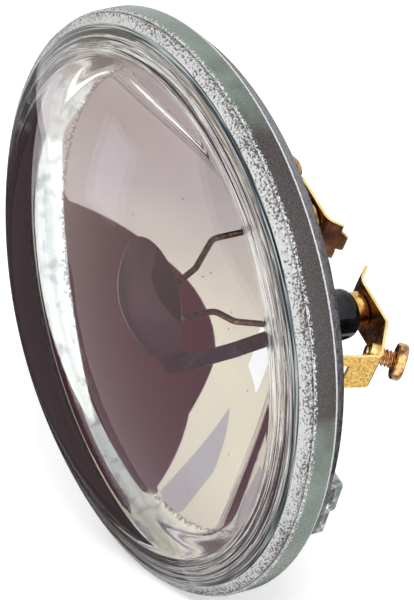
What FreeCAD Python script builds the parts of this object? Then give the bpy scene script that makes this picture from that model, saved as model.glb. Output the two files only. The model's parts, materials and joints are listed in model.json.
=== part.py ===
import FreeCAD, Part
import math
import os
from FreeCAD import Placement, Rotation, Vector
import Sketcher

# A sealed reflector lamp, 112 mm across: a pressed glass bowl and a clear domed lens fused rim to rim,
# with a coil, its two leads and a cap inside, and two brass screw terminals on the back.
# The light leaves along -Y and +Z is up. The origin is in the middle of the rim's straight side, on the
# lamp's axis, so a level is a distance behind the middle of the rim.

doc = FreeCAD.newDocument("reflector_lamp")
sheet = doc.addObject("Spreadsheet::Sheet", "Sizes")

SIZES = [
    # The fused rim
    ("rim_radius", 56.0, "outside of the bowl's rim"),
    ("rim_side", 4.6, "straight side of the rim, from the seam to the chamfer"),
    ("rim_chamfer", 3.7, "depth of the chamfer behind the side"),
    ("chamfer_width", 3.3, "width of the chamfer"),
    ("seat_width", 6.7, "flat ring inside the chamfer, that the lamp seats on"),
    ("rim_glass", 7.0, "glass from the mirror's edge to the rim's outside, at the seam"),
    # The bowl
    ("focal_share", 0.43878, "focal length of the mirror's parabola, as a share of its mouth's radius"),
    ("bowl_wall", 3.4, "glass behind the mirror's deepest point"),
    # The lens
    ("lens_ahead", 22.6, "front of the lens, ahead of the coil"),
    ("lens_wall", 3.9, "glass at the middle of the lens"),
    ("lens_set_in", 0.6, "how far the lens ends inside the rim"),
    ("lens_edge_land", 0.9, "straight edge of the lens at the seam"),
    # The keys on the back of the rim
    ("key_angle", -25.0, "direction of the first key, from +X towards +Z"),
    ("key_set_in", 6.4, "from the rim's outside to the inner face of a key"),
    ("key_depth", 4.4, "radial depth of a key"),
    ("key_height", 2.0, "tall part of a key, behind the seat"),
    ("key_length", 7.4, "tall part, round the rim"),
    ("key_step_height", 0.8, "low part of a key, behind the seat"),
    ("key_step_length", 5.2, "low part, round the rim"),
    ("key_root", 2.4, "how deep a key runs into the rim"),
    ("key_round", 0.6, "rounded edges of a key"),
    # The glass bosses and the metal ferrules that carry the current through the glass
    ("ferrule_circle", 11.0, "distance of each ferrule from the lamp's axis"),
    ("ferrule_angle", -36.0, "direction of the lower ferrule, from +X towards +Z"),
    ("boss_radius", 4.9, "end of a glass boss"),
    ("boss_foot_radius", 5.5, "glass boss where it leaves the bowl"),
    ("boss_rise", 7.05, "end of a boss, behind the bowl's deepest point"),
    ("boss_sink", 3.2, "its root in the bowl's wall, ahead of that point"),
    ("boss_round", 2.3, "rounded end of a boss"),
    ("ferrule_radius", 3.6, "outside of a ferrule"),
    ("ferrule_wall", 0.5, "its wall"),
    ("ferrule_cap", 1.2, "its closed end"),
    ("ferrule_stick", 2.2, "golden end that stands out of the boss"),
    ("ferrule_length", 13.0, "from its open end inside the bowl to its closed end"),
    ("ferrule_round", 0.4, "rounded edge of the closed end"),
    # The sealed stub of the tube that the bowl was filled through
    ("tube_radius", 2.6, "outside of the stub"),
    ("tube_wall", 0.9, "its wall"),
    ("tube_sink", 1.0, "its open end in the bowl's wall, ahead of the bowl's deepest point"),
    ("tube_length", 6.8, "from there to its tip"),
    ("tube_round", 1.7, "rounded tip"),
    # The folded brass terminals
    ("sheet_thickness", 0.55, "brass sheet"),
    ("terminal_width", 9.4, "across the folded strip"),
    ("terminal_angle", -31.4, "direction of the lower terminal's foot, from +X towards +Z"),
    ("terminal_sideways", 0.43, "how far the strip lies off the middle of its ferrule"),
    ("foot_inner", 3.45, "foot, from the ferrule's middle towards the lamp's axis"),
    ("foot_outer", 7.15, "foot, from the ferrule's middle to the first fold"),
    ("upper_shift", -0.9, "upper terminal, soldered this far along its own foot"),
    ("tip_length", 5.1, "upturned tip at the inner end of the foot"),
    ("tip_fold", 45.4, "angle of the tip"),
    ("tip_bend", 3.2, "inside radius of its bend"),
    ("lug_length", 8.6, "lug that carries the screw"),
    ("lug_fold", 36.2, "angle between foot and lug"),
    ("skirt_length", 8.0, "skirt that is folded forwards beside the bowl"),
    ("skirt_fold", 68.2, "angle between lug and skirt"),
    ("fold_bend", 0.6, "inside radius of both folds"),
    ("slot_width", 3.75, "slot up the middle of the skirt"),
    ("slot_start", 5.6, "from the fold to the slot's end"),
    ("tip_first_side", 3.45, "length of the tip where its first side is cut short"),
    ("tip_first_width", 1.55, "width of that cut"),
    ("tip_last_side", 3.85, "length of the tip where its other side is cut short"),
    ("tip_last_width", 2.5, "width of that cut"),
    ("tip_slant", 1.0, "width of the slanted end of either cut"),
    ("tip_relief_radius", 0.6, "round relief in the corner of the other cut"),
    ("tip_relief_length", 4.2, "its middle, from the bend along the tip"),
    # The terminal screws
    ("screw_radius", 1.75, "outside of the thread"),
    ("screw_clearance", 0.05, "between thread and hole, on the radius"),
    ("screw_place", 4.7, "hole, from the first fold along the lug"),
    ("screw_stick", 2.25, "screw in front of the lug"),
    ("screw_gap", 3.1, "head clear of the lug, as it was left"),
    ("screw_chamfer", 0.4, "end of the screw"),
    ("head_radius", 3.6, "screw head"),
    ("head_height", 2.0, "screw head"),
    ("head_round", 0.5, "edge of the head"),
    ("drive_width", 0.9, "slot for the screwdriver"),
    ("drive_depth", 0.9, "depth of that slot"),
    ("collar_radius", 2.35, "drawn collar of the screw hole"),
    ("collar_height", 1.3, "that collar, in front of the lug"),
    # Inside the lamp
    ("lead_radius", 0.52, "round lead wires"),
    ("lead_bend", 3.2, "radius of their larger bends"),
    ("lead_aside", 1.15, "lower lead beside the middle of its ferrule"),
    ("lead_straight", 1.1, "last run of a lead, in line with the coil"),
    ("upper_first_back", 12.5, "upper lead's first bend, behind the coil"),
    ("upper_second_back", 6.1, "its second bend, behind the coil"),
    ("upper_second_side", -4.3, "that bend along X"),
    ("upper_second_up", 3.4, "that bend along Z"),
    ("lower_first_back", 14.9, "lower lead's first bend, behind the coil"),
    ("lower_second_back", 9.5, "its second bend, behind the coil"),
    ("lower_second_side", 4.0, "that bend along X"),
    ("lower_second_up", -5.2, "that bend along Z"),
    ("lower_third_back", 6.3, "its third bend, behind the coil"),
    ("lower_third_side", 2.2, "that bend along X"),
    ("lower_third_up", -3.0, "that bend along Z"),
    ("strap_width", 2.9, "flat strap that carries the cap"),
    ("strap_thickness", 0.4, "its thickness"),
    ("strap_angle", 39.2, "direction that its face looks, from +X towards +Z"),
    ("strap_aside", 1.17, "strap beside the middle of the ferrule, on the other side from the lead"),
    ("strap_first_back", 14.9, "its first bend, behind the coil"),
    ("strap_second_back", 7.4, "its second bend, behind the coil"),
    ("strap_second_side", 3.6, "that bend, from the strap's line towards the lamp's axis"),
    ("strap_end_side", 5.0, "its end, from that line"),
    ("strap_lap", 2.8, "its end, behind the cap's rim"),
    ("cap_radius", 11.7, "rim of the cap in front of the coil"),
    ("cap_depth", 4.2, "its depth"),
    ("cap_wall", 0.4, "its sheet"),
    ("cap_ahead", 5.6, "its rim, ahead of the coil"),
    ("cap_side", -0.8, "its middle along X"),
    ("cap_up", 1.2, "its middle along Z"),
    ("ear_length", 5.4, "ear of the cap, from inside its rim backwards"),
    ("ear_width", 3.6, "from the cap's rim outwards"),
    ("ear_root", 0.7, "how far the ear laps the cap's rim"),
    ("coil_radius", 0.5, "outside of the coil"),
    ("coil_length", 3.2, "wound part of the coil"),
    ("coil_wire", 0.1, "radius of the coil's wire"),
    ("coil_leg", 0.4, "straight end of the coil's wire"),
    ("coil_side", -0.25, "middle of the coil along X"),
    ("coil_up", -0.6, "middle of the coil along Z"),
    ("coil_angle", 113.8, "direction of the coil, from +X towards +Z"),
    ("braze_radius", 2.3, "bead that holds the lead in its ferrule"),
    ("braze_height", 1.1, "that bead"),
]

for row, (alias, value, meaning) in enumerate(SIZES, start=1):
    sheet.set("A%d" % row, meaning)
    sheet.set("B%d" % row, str(value))
    sheet.setAlias("B%d" % row, alias)
doc.recompute()


def size(alias):
    """The number in the sheet that has this alias."""
    return float(sheet.get(alias))


FULL_TURN = 360.0
LAMP_AXIS = Vector(0, 1, 0)
ONTO_LAMP_AXIS = Rotation(Vector(1, 0, 0), -90)

# Levels and radii that several pieces share, as formulas for the sketches and as numbers
SEAM = "(-Sizes.rim_side / 2)"
MOUTH = "(Sizes.rim_radius - Sizes.rim_glass)"
LENS_EDGE = "(Sizes.rim_radius - Sizes.lens_set_in)"
BACK = "(%s + %s / (4 * Sizes.focal_share) + Sizes.bowl_wall)" % (SEAM, MOUTH)
TUBE_ROOT = "(%s - Sizes.tube_sink)" % BACK
FERRULE_END = "(%s + Sizes.boss_rise + Sizes.ferrule_stick)" % BACK
FERRULE_FLOOR = "(%s - Sizes.ferrule_cap)" % FERRULE_END
COIL = "(%s - Sizes.bowl_wall - Sizes.focal_share * %s)" % (BACK, MOUTH)
LENS_FRONT = "(%s - Sizes.lens_ahead)" % COIL

seam_level = -size("rim_side") / 2
seat_level = size("rim_side") / 2 + size("rim_chamfer")
mouth_radius = size("rim_radius") - size("rim_glass")
focal_length = size("focal_share") * mouth_radius
mirror_vertex = seam_level + mouth_radius ** 2 / (4 * focal_length)
back_vertex = mirror_vertex + size("bowl_wall")
coil_level = mirror_vertex - focal_length
boss_root = back_vertex - size("boss_sink")
tube_root = back_vertex - size("tube_sink")
ferrule_end = back_vertex + size("boss_rise") + size("ferrule_stick")
ferrule_floor = ferrule_end - size("ferrule_cap")
cap_level = coil_level - size("cap_ahead")
lens_front = coil_level - size("lens_ahead")


def across(angle, radius, level=0.0):
    """A point at a radius from the lamp's axis, in a direction from +X towards +Z."""
    turn = math.radians(angle)
    return Vector(radius * math.cos(turn), level, radius * math.sin(turn))


def turned_to(angle):
    """The rotation that brings +X to that direction."""
    return Rotation(LAMP_AXIS, -angle)


# Helpers for the sketches


def flat_sketch(body, name, plane_role):
    """A sketch on one of the body's own origin planes."""
    sketch = body.newObject("Sketcher::SketchObject", name)
    planes = [item for item in body.Origin.OriginFeatures if item.Role == plane_role]
    sketch.AttachmentSupport = [(planes[0], "")]
    sketch.MapMode = "FlatFace"
    return sketch


def hold(sketch, kind, geometry, point, formula):
    """Bind a corner's distance from the sketch's origin to a formula, or hold it on the axis."""
    if formula is None:
        axis = -2 if kind == "DistanceX" else -1
        sketch.addConstraint(Sketcher.Constraint("PointOnObject", geometry, point, axis))
        return
    corner = sketch.getPoint(geometry, point)
    start = corner.x if kind == "DistanceX" else corner.y
    index = sketch.addConstraint(Sketcher.Constraint(kind, -1, 1, geometry, point, start))
    sketch.setExpression("Constraints[%d]" % index, formula)


def join_ends(sketch, count):
    """Join each line's or arc's end to the start of the next, all the way round."""
    for index in range(count):
        follower = (index + 1) % count
        sketch.addConstraint(Sketcher.Constraint("Coincident", index, 2, follower, 1))


def straight_outline(sketch, corners):
    """A closed outline of straight sides, each corner at its own two formulas."""
    count = len(corners)
    spread = [FULL_TURN / count * index for index in range(count)]
    rough = [Vector(10 * math.cos(math.radians(a)), 10 * math.sin(math.radians(a)), 0) for a in spread]
    for index in range(count):
        sketch.addGeometry(Part.LineSegment(rough[index], rough[(index + 1) % count]), False)
    join_ends(sketch, count)
    for index, (sideways, upwards) in enumerate(corners):
        hold(sketch, "DistanceX", index, 1, sideways)
        hold(sketch, "DistanceY", index, 1, upwards)


def turned(body, name, sketch):
    """Turn a sketch all the way round its own upright axis."""
    feature = body.newObject("PartDesign::Revolution", name)
    feature.Profile = sketch
    feature.ReferenceAxis = (sketch, ["V_Axis"])
    feature.Angle = FULL_TURN
    doc.recompute()
    return feature


def rounded(body, name, edges, formula):
    """Round the named edges of what the body holds so far."""
    feature = body.newObject("PartDesign::Fillet", name)
    feature.Base = (body.Tip if body.Tip is not feature else feature.BaseFeature, edges)
    feature.setExpression("Radius", formula)
    doc.recompute()
    return feature


def circles_at(shape, level, radius, place=1):
    """Names of the round edges at a level (0 is X, 1 is Y, 2 is Z) and of a radius."""
    names = []
    for number, edge in enumerate(shape.Edges, start=1):
        if not isinstance(edge.Curve, Part.Circle):
            continue
        if abs(edge.Curve.Center[place] - level) < 0.01 and abs(edge.Curve.Radius - radius) < 0.01:
            names.append("Edge%d" % number)
    return names


def folds_at(shape, sideways, upwards):
    """Names of the straight edges along Z that pass through a corner of the section."""
    names = []
    for number, edge in enumerate(shape.Edges, start=1):
        ends = [vertex.Point for vertex in edge.Vertexes]
        near = [abs(end.x - sideways) < 0.01 and abs(end.y - upwards) < 0.01 for end in ends]
        if len(ends) == 2 and all(near):
            names.append("Edge%d" % number)
    return names


def new_body(name):
    """An empty body with its own label, which names its file."""
    body = doc.addObject("PartDesign::Body", name + "_body")
    body.Label = name
    return body


# The dished sheet: the lens and the cap are both one, and differ only in size


def dished(body, apex, wall, rim_outer, rim_inner, rim_level, land):
    """A dish that bulges towards -Y: arcs through apex and rim, with their centres on the axis."""
    sketch = flat_sketch(body, body.Label + "_section", "XY_Plane")
    outer_end = rim_level[0] - land[0]

    def bulge(top, end_radius, end_level):
        """The arc from a point on the axis to a point of the rim."""
        rise = end_level - top
        radius = (end_radius ** 2 + rise ** 2) / (2 * rise)
        lean = math.asin(end_radius / radius)
        circle = Part.Circle(Vector(0, top + radius, 0), Vector(0, 0, 1), radius)
        return Part.ArcOfCircle(circle, -math.pi / 2, -math.pi / 2 + lean)

    outer = bulge(apex[0], rim_outer[0], outer_end)
    inner = bulge(apex[0] + wall[0], rim_inner[0], rim_level[0])
    edge_front = Vector(rim_outer[0], outer_end, 0)
    edge_back = Vector(rim_outer[0], rim_level[0], 0)
    rim_inside = Vector(rim_inner[0], rim_level[0], 0)
    sketch.addGeometry(outer, False)
    sketch.addGeometry(Part.LineSegment(edge_front, edge_back), False)
    sketch.addGeometry(Part.LineSegment(edge_back, rim_inside), False)
    sketch.addGeometry(inner, False)
    sketch.addGeometry(Part.LineSegment(Vector(0, apex[0] + wall[0], 0), Vector(0, apex[0], 0)), False)
    sketch.addConstraint(Sketcher.Constraint("Coincident", 0, 2, 1, 1))
    sketch.addConstraint(Sketcher.Constraint("Coincident", 1, 2, 2, 1))
    sketch.addConstraint(Sketcher.Constraint("Coincident", 2, 2, 3, 2))
    sketch.addConstraint(Sketcher.Constraint("Coincident", 3, 1, 4, 1))
    sketch.addConstraint(Sketcher.Constraint("Coincident", 4, 2, 0, 1))
    for arc in (0, 3):
        sketch.addConstraint(Sketcher.Constraint("PointOnObject", arc, 3, -2))
    hold(sketch, "DistanceX", 0, 1, None)
    hold(sketch, "DistanceY", 0, 1, apex[1])
    hold(sketch, "DistanceX", 3, 1, None)
    hold(sketch, "DistanceY", 3, 1, apex[1] + " + " + wall[1])
    hold(sketch, "DistanceX", 1, 1, rim_outer[1])
    hold(sketch, "DistanceY", 1, 1, rim_level[1] + " - " + land[1])
    hold(sketch, "DistanceX", 2, 1, rim_outer[1])
    hold(sketch, "DistanceY", 2, 1, rim_level[1])
    hold(sketch, "DistanceX", 2, 2, rim_inner[1])
    hold(sketch, "DistanceY", 2, 2, rim_level[1])
    return turned(body, body.Label + "_turned", sketch)


# The lens


def make_lens():
    """The clear domed lens, with a flat face where it is fused to the bowl."""
    body = new_body("lens")
    dished(
        body,
        (lens_front, LENS_FRONT),
        (size("lens_wall"), "Sizes.lens_wall"),
        (size("rim_radius") - size("lens_set_in"), LENS_EDGE),
        (mouth_radius, MOUTH),
        (seam_level, SEAM),
        (size("lens_edge_land"), "Sizes.lens_edge_land"),
    )
    return body


# The bowl: mirror, rim, keys and the two bosses are one pressed piece of glass


def parabola_arc(vertex, end_radius, end_level):
    """Half a parabola, from its vertex on the axis to a point, as its exact control polygon."""
    curve = Part.BezierCurve()
    curve.setPoles([Vector(0, vertex, 0), Vector(end_radius / 2, vertex, 0),
                    Vector(end_radius, end_level, 0)])
    return curve.toShape()


def bowl_section():
    """Half the section of the bowl: the mirror's parabola, the rim and the back's parabola."""
    mouth = Vector(mouth_radius, seam_level, 0)
    seat_outer = size("rim_radius") - size("chamfer_width")
    seat_inner = seat_outer - size("seat_width")
    corners = [
        mouth,
        Vector(size("rim_radius"), seam_level, 0),
        Vector(size("rim_radius"), -seam_level, 0),
        Vector(seat_outer, seat_level, 0),
        Vector(seat_inner, seat_level, 0),
    ]
    edges = [parabola_arc(mirror_vertex, mouth.x, mouth.y)]
    edges += [Part.makeLine(start, end) for start, end in zip(corners, corners[1:])]
    edges.append(parabola_arc(back_vertex, seat_inner, seat_level))
    edges.append(Part.makeLine(Vector(0, back_vertex, 0), Vector(0, mirror_vertex, 0)))
    return Part.Face(Part.Wire(Part.__sortEdges__(edges)))


def rounded_feature(name, base, edge_names, radius):
    """Round edges of a plain solid."""
    fillet = doc.addObject("Part::Fillet", name)
    fillet.Base = base
    fillet.Edges = [(int(edge[4:]), radius, radius) for edge in edge_names]
    doc.recompute()
    return fillet


def boss(name, angle):
    """A glass boss that closes round a ferrule."""
    cone = doc.addObject("Part::Cone", name + "_cone")
    cone.setExpression("Radius1", "Sizes.boss_foot_radius")
    cone.setExpression("Radius2", "Sizes.boss_radius")
    cone.setExpression("Height", "Sizes.boss_rise + Sizes.boss_sink")
    doc.recompute()
    top = circles_at(cone.Shape, size("boss_rise") + size("boss_sink"), size("boss_radius"), 2)
    fillet = rounded_feature(name, cone, top, size("boss_round"))
    fillet.Placement = Placement(across(angle, size("ferrule_circle"), boss_root), ONTO_LAMP_AXIS)
    return fillet


def key_block(name, angle, height, length, start):
    """One step of a key: a block on the back of the rim, with its outer edges rounded."""
    block = doc.addObject("Part::Box", name + "_block")
    block.setExpression("Length", "Sizes.key_depth")
    block.setExpression("Width", "Sizes.key_root + Sizes.%s" % height)
    block.setExpression("Height", "Sizes.%s" % length)
    doc.recompute()
    back = size("key_root") + size(height)
    edges = [
        "Edge%d" % number
        for number, edge in enumerate(block.Shape.Edges, start=1)
        if all(abs(vertex.Point.y - back) < 0.01 for vertex in edge.Vertexes)
    ]
    radius = min(size("key_round"), 0.9 * size(height))
    fillet = rounded_feature(name, block, edges, radius)
    place = Placement(Vector(0, 0, 0), turned_to(angle))
    inner = size("rim_radius") - size("key_set_in")
    corner = Vector(inner, seat_level - size("key_root"), start)
    fillet.Placement = place * Placement(corner, Rotation())
    return fillet


def key(name, angle):
    """A key on the back of the rim: a tall part and a low part, end to end."""
    tall = key_block(name + "_tall", angle, "key_height", "key_length", -size("key_length") / 2)
    low_start = -size("key_length") / 2 - size("key_step_length")
    low = key_block(name + "_low", angle, "key_step_height", "key_step_length", low_start)
    return [tall, low]


def ferrule_bore(name, angle):
    """The round way through the glass that a ferrule is sealed in."""
    bore = doc.addObject("Part::Cylinder", name)
    bore.setExpression("Radius", "Sizes.ferrule_radius")
    bore.setExpression("Height", FERRULE_END)
    bore.Placement = Placement(across(angle, size("ferrule_circle")), ONTO_LAMP_AXIS)
    return bore


def make_reflector():
    """The bowl with its keys and bosses, bored for the ferrules and for the stub of the tube."""
    section = doc.addObject("Part::Feature", "bowl_section")
    section.Shape = bowl_section()
    bowl = doc.addObject("Part::Revolution", "bowl")
    bowl.Source = section
    bowl.Axis = LAMP_AXIS
    bowl.Angle = FULL_TURN
    bowl.Solid = True
    lower = size("ferrule_angle")
    glass = doc.addObject("Part::MultiFuse", "pressed_glass")
    glass.Shapes = [bowl, boss("boss_lower", lower), boss("boss_upper", lower + FULL_TURN / 2)]
    glass.Shapes += key("key_first", size("key_angle"))
    glass.Shapes += key("key_second", size("key_angle") + FULL_TURN / 2)
    tube_bore = doc.addObject("Part::Cylinder", "tube_bore")
    tube_bore.setExpression("Radius", "Sizes.tube_radius")
    tube_bore.setExpression("Height", "Sizes.tube_length")
    tube_bore.Placement = Placement(Vector(0, tube_root, 0), ONTO_LAMP_AXIS)
    tube_way = doc.addObject("Part::Cylinder", "tube_way")
    tube_way.setExpression("Radius", "Sizes.tube_radius - Sizes.tube_wall")
    tube_way.setExpression("Height", "Sizes.tube_length")
    tube_way.Placement = Placement(Vector(0, tube_root - size("tube_length"), 0), ONTO_LAMP_AXIS)
    ways = doc.addObject("Part::MultiFuse", "ways_through")
    ways.Shapes = [
        ferrule_bore("bore_lower", lower),
        ferrule_bore("bore_upper", lower + FULL_TURN / 2),
        tube_bore,
        tube_way,
    ]
    reflector = doc.addObject("Part::Cut", "reflector")
    reflector.Base = glass
    reflector.Tool = ways
    reflector.Label = "reflector"
    doc.recompute()
    return reflector


# The stub of the tube


def make_tube():
    """The glass stub at the middle of the back: an open tube, melted shut to a round tip."""
    body = new_body("exhaust_tube")
    sketch = flat_sketch(body, "tube_section", "XY_Plane")
    inside = "Sizes.tube_radius - Sizes.tube_wall"
    tip = TUBE_ROOT + " + Sizes.tube_length"
    straight_outline(sketch, [
        (inside, TUBE_ROOT),
        ("Sizes.tube_radius", TUBE_ROOT),
        ("Sizes.tube_radius", tip),
        (None, tip),
        (None, tip + " - 1.5 * Sizes.tube_wall"),
        (inside, tip + " - 1.5 * Sizes.tube_wall"),
    ])
    turned(body, "tube_turned", sketch)
    end = tube_root + size("tube_length")
    rounded(body, "tube_tip", circles_at(body.Shape, end, size("tube_radius")), "Sizes.tube_round")
    return body


# The ferrules


def make_ferrule(name, angle):
    """A metal cup through the glass, with its closed end at the back."""
    body = new_body(name)
    sketch = flat_sketch(body, name + "_section", "XY_Plane")
    inside = "Sizes.ferrule_radius - Sizes.ferrule_wall"
    mouth = FERRULE_END + " - Sizes.ferrule_length"
    straight_outline(sketch, [
        (inside, mouth),
        ("Sizes.ferrule_radius", mouth),
        ("Sizes.ferrule_radius", FERRULE_END),
        (None, FERRULE_END),
        (None, FERRULE_FLOOR),
        (inside, FERRULE_FLOOR),
    ])
    turned(body, name + "_turned", sketch)
    end = circles_at(body.Shape, ferrule_end, size("ferrule_radius"))
    rounded(body, name + "_edge", end, "Sizes.ferrule_round")
    body.Placement = Placement(across(angle, size("ferrule_circle")), Rotation())
    return body


# The terminals. Each is one strip of brass, seen here from its edge: X runs outwards along the foot,
# Y backwards, and the strip is as wide as the terminal along Z. The foot lies on the ferrule's end.


def fold_corners():
    """The strip's outline: along its front from the tip to the skirt, then back along its back."""
    tip, lug = "Sizes.tip_fold", "Sizes.lug_fold"
    skirt = "(Sizes.lug_fold + Sizes.skirt_fold)"
    middle = "(Sizes.lug_fold + Sizes.skirt_fold / 2)"
    thick = "Sizes.sheet_thickness"
    tip_x = "-Sizes.foot_inner - Sizes.tip_length * cos(%s)" % tip
    tip_y = "Sizes.tip_length * sin(%s)" % tip
    lug_x = "Sizes.foot_outer + Sizes.lug_length * cos(%s)" % lug
    lug_y = "-Sizes.lug_length * sin(%s)" % lug
    end_x = lug_x + " + Sizes.skirt_length * cos(%s)" % skirt
    end_y = lug_y + " - Sizes.skirt_length * sin(%s)" % skirt
    mitre = "%s / cos(Sizes.skirt_fold / 2)" % thick
    return [
        (tip_x, tip_y),
        ("-Sizes.foot_inner", None),
        ("Sizes.foot_outer", None),
        (lug_x, lug_y),
        (end_x, end_y),
        (end_x + " + %s * sin(%s)" % (thick, skirt), end_y + " + %s * cos(%s)" % (thick, skirt)),
        (lug_x + " + %s * sin(%s)" % (mitre, middle), lug_y + " + %s * cos(%s)" % (mitre, middle)),
        ("Sizes.foot_outer + %s * tan(%s / 2)" % (thick, lug), thick),
        ("-Sizes.foot_inner + %s * tan(%s / 2)" % (thick, tip), thick),
        (tip_x + " + %s * sin(%s)" % (thick, tip), tip_y + " + %s * cos(%s)" % (thick, tip)),
    ]


def cut_along(body, name, plane_role, corners, tilt=None):
    """Cut an outline out of everything that it crosses, squarely to its plane or to that plane tilted."""
    sketch = flat_sketch(body, name + "_outline", plane_role)
    if tilt is not None:
        flat = sketch.Placement
        sketch.AttachmentOffset = flat.inverse() * tilt * flat
    straight_outline(sketch, corners)
    pocket = body.newObject("PartDesign::Pocket", name)
    pocket.Profile = sketch
    pocket.Type = "ThroughAll"
    pocket.Midplane = True
    doc.recompute()
    return pocket


def round_folds(body):
    """Round the three folds, the hollow side first and then the outer side."""
    thick = size("sheet_thickness")
    lug, tip = math.radians(size("lug_fold")), math.radians(size("tip_fold"))
    skirt, half = lug + math.radians(size("skirt_fold")), math.radians(size("skirt_fold") / 2)
    lug_x = size("foot_outer") + size("lug_length") * math.cos(lug)
    lug_y = -size("lug_length") * math.sin(lug)
    mitre = thick / math.cos(half)
    outer = "Sizes.fold_bend + Sizes.sheet_thickness"
    folds = [
        ("lug_hollow", size("foot_outer"), 0.0, "Sizes.fold_bend"),
        ("lug_outside", size("foot_outer") + thick * math.tan(lug / 2), thick, outer),
        ("skirt_hollow", lug_x, lug_y, "Sizes.fold_bend"),
        ("skirt_outside", lug_x + mitre * math.sin(lug + half), lug_y + mitre * math.cos(lug + half), outer),
        ("tip_hollow", -size("foot_inner") + thick * math.tan(tip / 2), thick, "Sizes.tip_bend"),
        ("tip_outside", -size("foot_inner"), 0.0, "Sizes.tip_bend + Sizes.sheet_thickness"),
    ]
    for name, sideways, upwards, formula in folds:
        rounded(body, body.Label + "_" + name, folds_at(body.Shape, sideways, upwards), formula)
    return skirt


def drilled_collar(body):
    """The drawn collar of the screw hole, and the hole through it and the lug."""
    lug = math.radians(size("lug_fold"))
    along = Vector(math.cos(lug), -math.sin(lug), 0)
    outwards = Vector(math.sin(lug), math.cos(lug), 0)
    middle = Vector(size("foot_outer"), 0, 0) + along * size("screw_place")
    facing = Rotation(Vector(0, 0, 1), outwards)
    collar = body.newObject("PartDesign::AdditiveCylinder", body.Label + "_collar")
    collar.setExpression("Radius", "Sizes.collar_radius")
    collar.setExpression("Height", "Sizes.collar_height + Sizes.sheet_thickness / 2")
    collar.Placement = Placement(middle - outwards * size("collar_height"), facing)
    doc.recompute()
    hole = body.newObject("PartDesign::SubtractiveCylinder", body.Label + "_hole")
    hole.setExpression("Radius", "Sizes.screw_radius + Sizes.screw_clearance")
    hole.setExpression("Height", "Sizes.collar_height + 2 * Sizes.sheet_thickness")
    hole.Placement = Placement(middle - outwards * size("collar_height"), facing)
    doc.recompute()
    return Placement(middle, facing)


def tip_cut(body):
    """Both sides of the tip cut short, each with a slanted end, and a round relief in one corner."""
    tilt = Placement(Vector(-size("foot_inner"), 0, 0), Rotation(Vector(0, 0, 1), -size("tip_fold")))
    half = "Sizes.terminal_width / 2"
    beyond = "-2 * Sizes.tip_length"
    sides = [
        ("tip_first", "-", "-(%s - Sizes.tip_first_width" % half),
        ("tip_last", "", "(%s - Sizes.tip_last_width" % half),
    ]
    for name, sign, step in sides:
        outside = "%s(%s + Sizes.sheet_thickness)" % (sign, half)
        corners = [
            (beyond, outside),
            ("-Sizes.%s_side" % name, outside),
            ("-Sizes.%s_side" % name, step + ")"),
            ("-Sizes.tip_length", step + " - Sizes.tip_slant)"),
            (beyond, step + " - Sizes.tip_slant)"),
        ]
        cut_along(body, "%s_%s_cut" % (body.Label, name), "XZ_Plane", corners, tilt)
    relief = body.newObject("PartDesign::SubtractiveCylinder", body.Label + "_relief")
    relief.setExpression("Radius", "Sizes.tip_relief_radius")
    relief.setExpression("Height", "6 * Sizes.sheet_thickness")
    corner = Vector(-size("tip_relief_length"), -3 * size("sheet_thickness"),
                    size("terminal_width") / 2 - size("tip_last_width"))
    relief.Placement = tilt * Placement(corner, ONTO_LAMP_AXIS)
    doc.recompute()


def make_terminal(name):
    """The folded brass strip, in its own place: the ferrule's middle is its origin."""
    body = new_body(name)
    sketch = flat_sketch(body, name + "_section", "XY_Plane")
    straight_outline(sketch, fold_corners())
    pad = body.newObject("PartDesign::Pad", name + "_strip")
    pad.Profile = sketch
    pad.Midplane = True
    pad.setExpression("Length", "Sizes.terminal_width")
    doc.recompute()
    round_folds(body)
    skirt = "(Sizes.lug_fold + Sizes.skirt_fold)"
    slot_top = "-Sizes.lug_length * sin(Sizes.lug_fold) - Sizes.slot_start * sin(%s)" % skirt
    slot_end = "-Sizes.lug_length * sin(Sizes.lug_fold) - 2 * Sizes.skirt_length"
    cut_along(body, name + "_slot", "YZ_Plane", [
        (slot_top, "-Sizes.slot_width / 2"),
        (slot_top, "Sizes.slot_width / 2"),
        (slot_end, "Sizes.slot_width / 2"),
        (slot_end, "-Sizes.slot_width / 2"),
    ])
    tip_cut(body)
    screw_seat = drilled_collar(body)
    return body, screw_seat


def terminal_place(ferrule_angle, foot_angle, shift):
    """Where a terminal's own origin lies: on the end of its ferrule, moved along and across its foot."""
    on_ferrule = Placement(across(ferrule_angle, size("ferrule_circle"), ferrule_end),
                           turned_to(foot_angle))
    return on_ferrule * Placement(Vector(shift, 0, size("terminal_sideways")), Rotation())


# The screws


def make_screw(name):
    """A slotted screw along Z, with the front face of the lug at its origin."""
    body = new_body(name)
    sketch = flat_sketch(body, name + "_section", "XZ_Plane")
    under_head = "Sizes.sheet_thickness + Sizes.screw_gap"
    top = under_head + " + Sizes.head_height"
    straight_outline(sketch, [
        (None, "-Sizes.screw_stick"),
        ("Sizes.screw_radius - Sizes.screw_chamfer", "-Sizes.screw_stick"),
        ("Sizes.screw_radius", "-Sizes.screw_stick + Sizes.screw_chamfer"),
        ("Sizes.screw_radius", under_head),
        ("Sizes.head_radius", under_head),
        ("Sizes.head_radius", top),
        (None, top),
    ])
    turned(body, name + "_turned", sketch)
    head_base = size("sheet_thickness") + size("screw_gap")
    head_top = head_base + size("head_height")
    edges = circles_at(body.Shape, head_top, size("head_radius"), 2)
    edges += circles_at(body.Shape, head_base, size("head_radius"), 2)
    rounded(body, name + "_head_edge", edges, "Sizes.head_round")
    slot = body.newObject("PartDesign::SubtractiveBox", name + "_slot")
    slot.setExpression("Length", "3 * Sizes.head_radius")
    slot.setExpression("Width", "Sizes.drive_width")
    slot.setExpression("Height", "2 * Sizes.drive_depth")
    corner = Vector(-1.5 * size("head_radius"), -size("drive_width") / 2, head_top - size("drive_depth"))
    slot.Placement = Placement(corner, Rotation())
    doc.recompute()
    return body


# The pieces inside the lamp


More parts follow.
